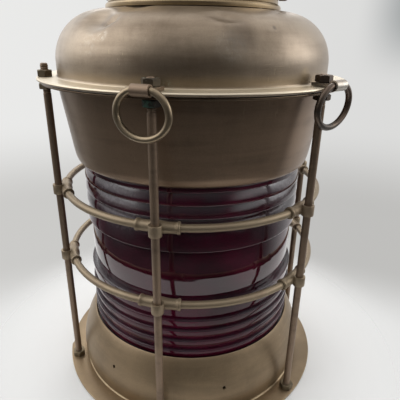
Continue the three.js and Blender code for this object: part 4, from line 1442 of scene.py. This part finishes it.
class LANTERN_OT_stage(bpy.types.Operator):
    """Set the camera, the floor, the lamps and the background"""
    bl_idname = "lantern.stage"
    bl_label = "Stage"

    def execute(self, context):
        stage = context.scene.lantern_stage
        data = bpy.data.cameras.new("camera")
        data.sensor_width = 36.0
        data.lens = CAMERA_LENS
        data.clip_start = 0.01
        camera = bpy.data.objects.new("camera", data)
        camera.location = CAMERA_PLACE
        camera.rotation_euler = Euler(CAMERA_TURN)
        context.scene.collection.objects.link(camera)
        context.scene.camera = camera

        bm = bmesh.new()
        bmesh.ops.create_circle(bm, cap_ends=True, segments=96, radius=FLOOR_REACH)
        bmesh.ops.bisect_plane(bm, geom=bm.verts[:] + bm.edges[:] + bm.faces[:],
                               plane_co=(0, FLOOR_FRONT, 0), plane_no=(0, -1, 0), clear_outer=True)
        floor = bpy.data.objects.new("floor", to_mesh(bm, "floor"))
        floor.location.z = -FLOOR_DROP
        context.scene.collection.objects.link(floor)
        floor.data.materials.append(floor_card(stage))
        context.scene.world = studio_world(stage)
        for name, (location, target, size, share) in LAMPS.items():
            area_lamp(name, location, target, size, share * stage.key_power)
        context.scene.view_settings.view_transform = "Standard"
        return {"FINISHED"}


STEPS = [
    LANTERN_OT_stage, LANTERN_OT_base, LANTERN_OT_seals, LANTERN_OT_lens, LANTERN_OT_bowl,
    LANTERN_OT_hood, LANTERN_OT_vent, LANTERN_OT_bail, LANTERN_OT_guard_rings,
    LANTERN_OT_fittings, LANTERN_OT_rods, LANTERN_OT_nuts, LANTERN_OT_hoist_rings,
    LANTERN_OT_lamp,
]


class LANTERN_PT_panel(bpy.types.Panel):
    """Lists the lantern's pieces, sizes and colours"""
    bl_idname = "LANTERN_PT_panel"
    bl_label = "Marine Lantern"
    bl_space_type = "VIEW_3D"
    bl_region_type = "UI"
    bl_category = "Lantern"

    def draw(self, context):
        for step in STEPS:
            self.layout.operator(step.bl_idname)
        for group in (context.scene.lantern_sizes, context.scene.lantern_finish,
                      context.scene.lantern_stage):
            box = self.layout.box()
            for name in group.__annotations__:
                box.prop(group, name)


CLASSES = [LanternSizes, LanternFinish, LanternStage, *STEPS, LANTERN_PT_panel]


def register():
    for cls in CLASSES:
        bpy.utils.register_class(cls)
    bpy.types.Scene.lantern_sizes = PointerProperty(type=LanternSizes)
    bpy.types.Scene.lantern_finish = PointerProperty(type=LanternFinish)
    bpy.types.Scene.lantern_stage = PointerProperty(type=LanternStage)


def unregister():
    del bpy.types.Scene.lantern_stage
    del bpy.types.Scene.lantern_finish
    del bpy.types.Scene.lantern_sizes
    for cls in reversed(CLASSES):
        bpy.utils.unregister_class(cls)


def main():
    register()
    for step in STEPS:
        getattr(bpy.ops.lantern, step.bl_idname.split(".")[1])()


if __name__ == "__main__":
    main()
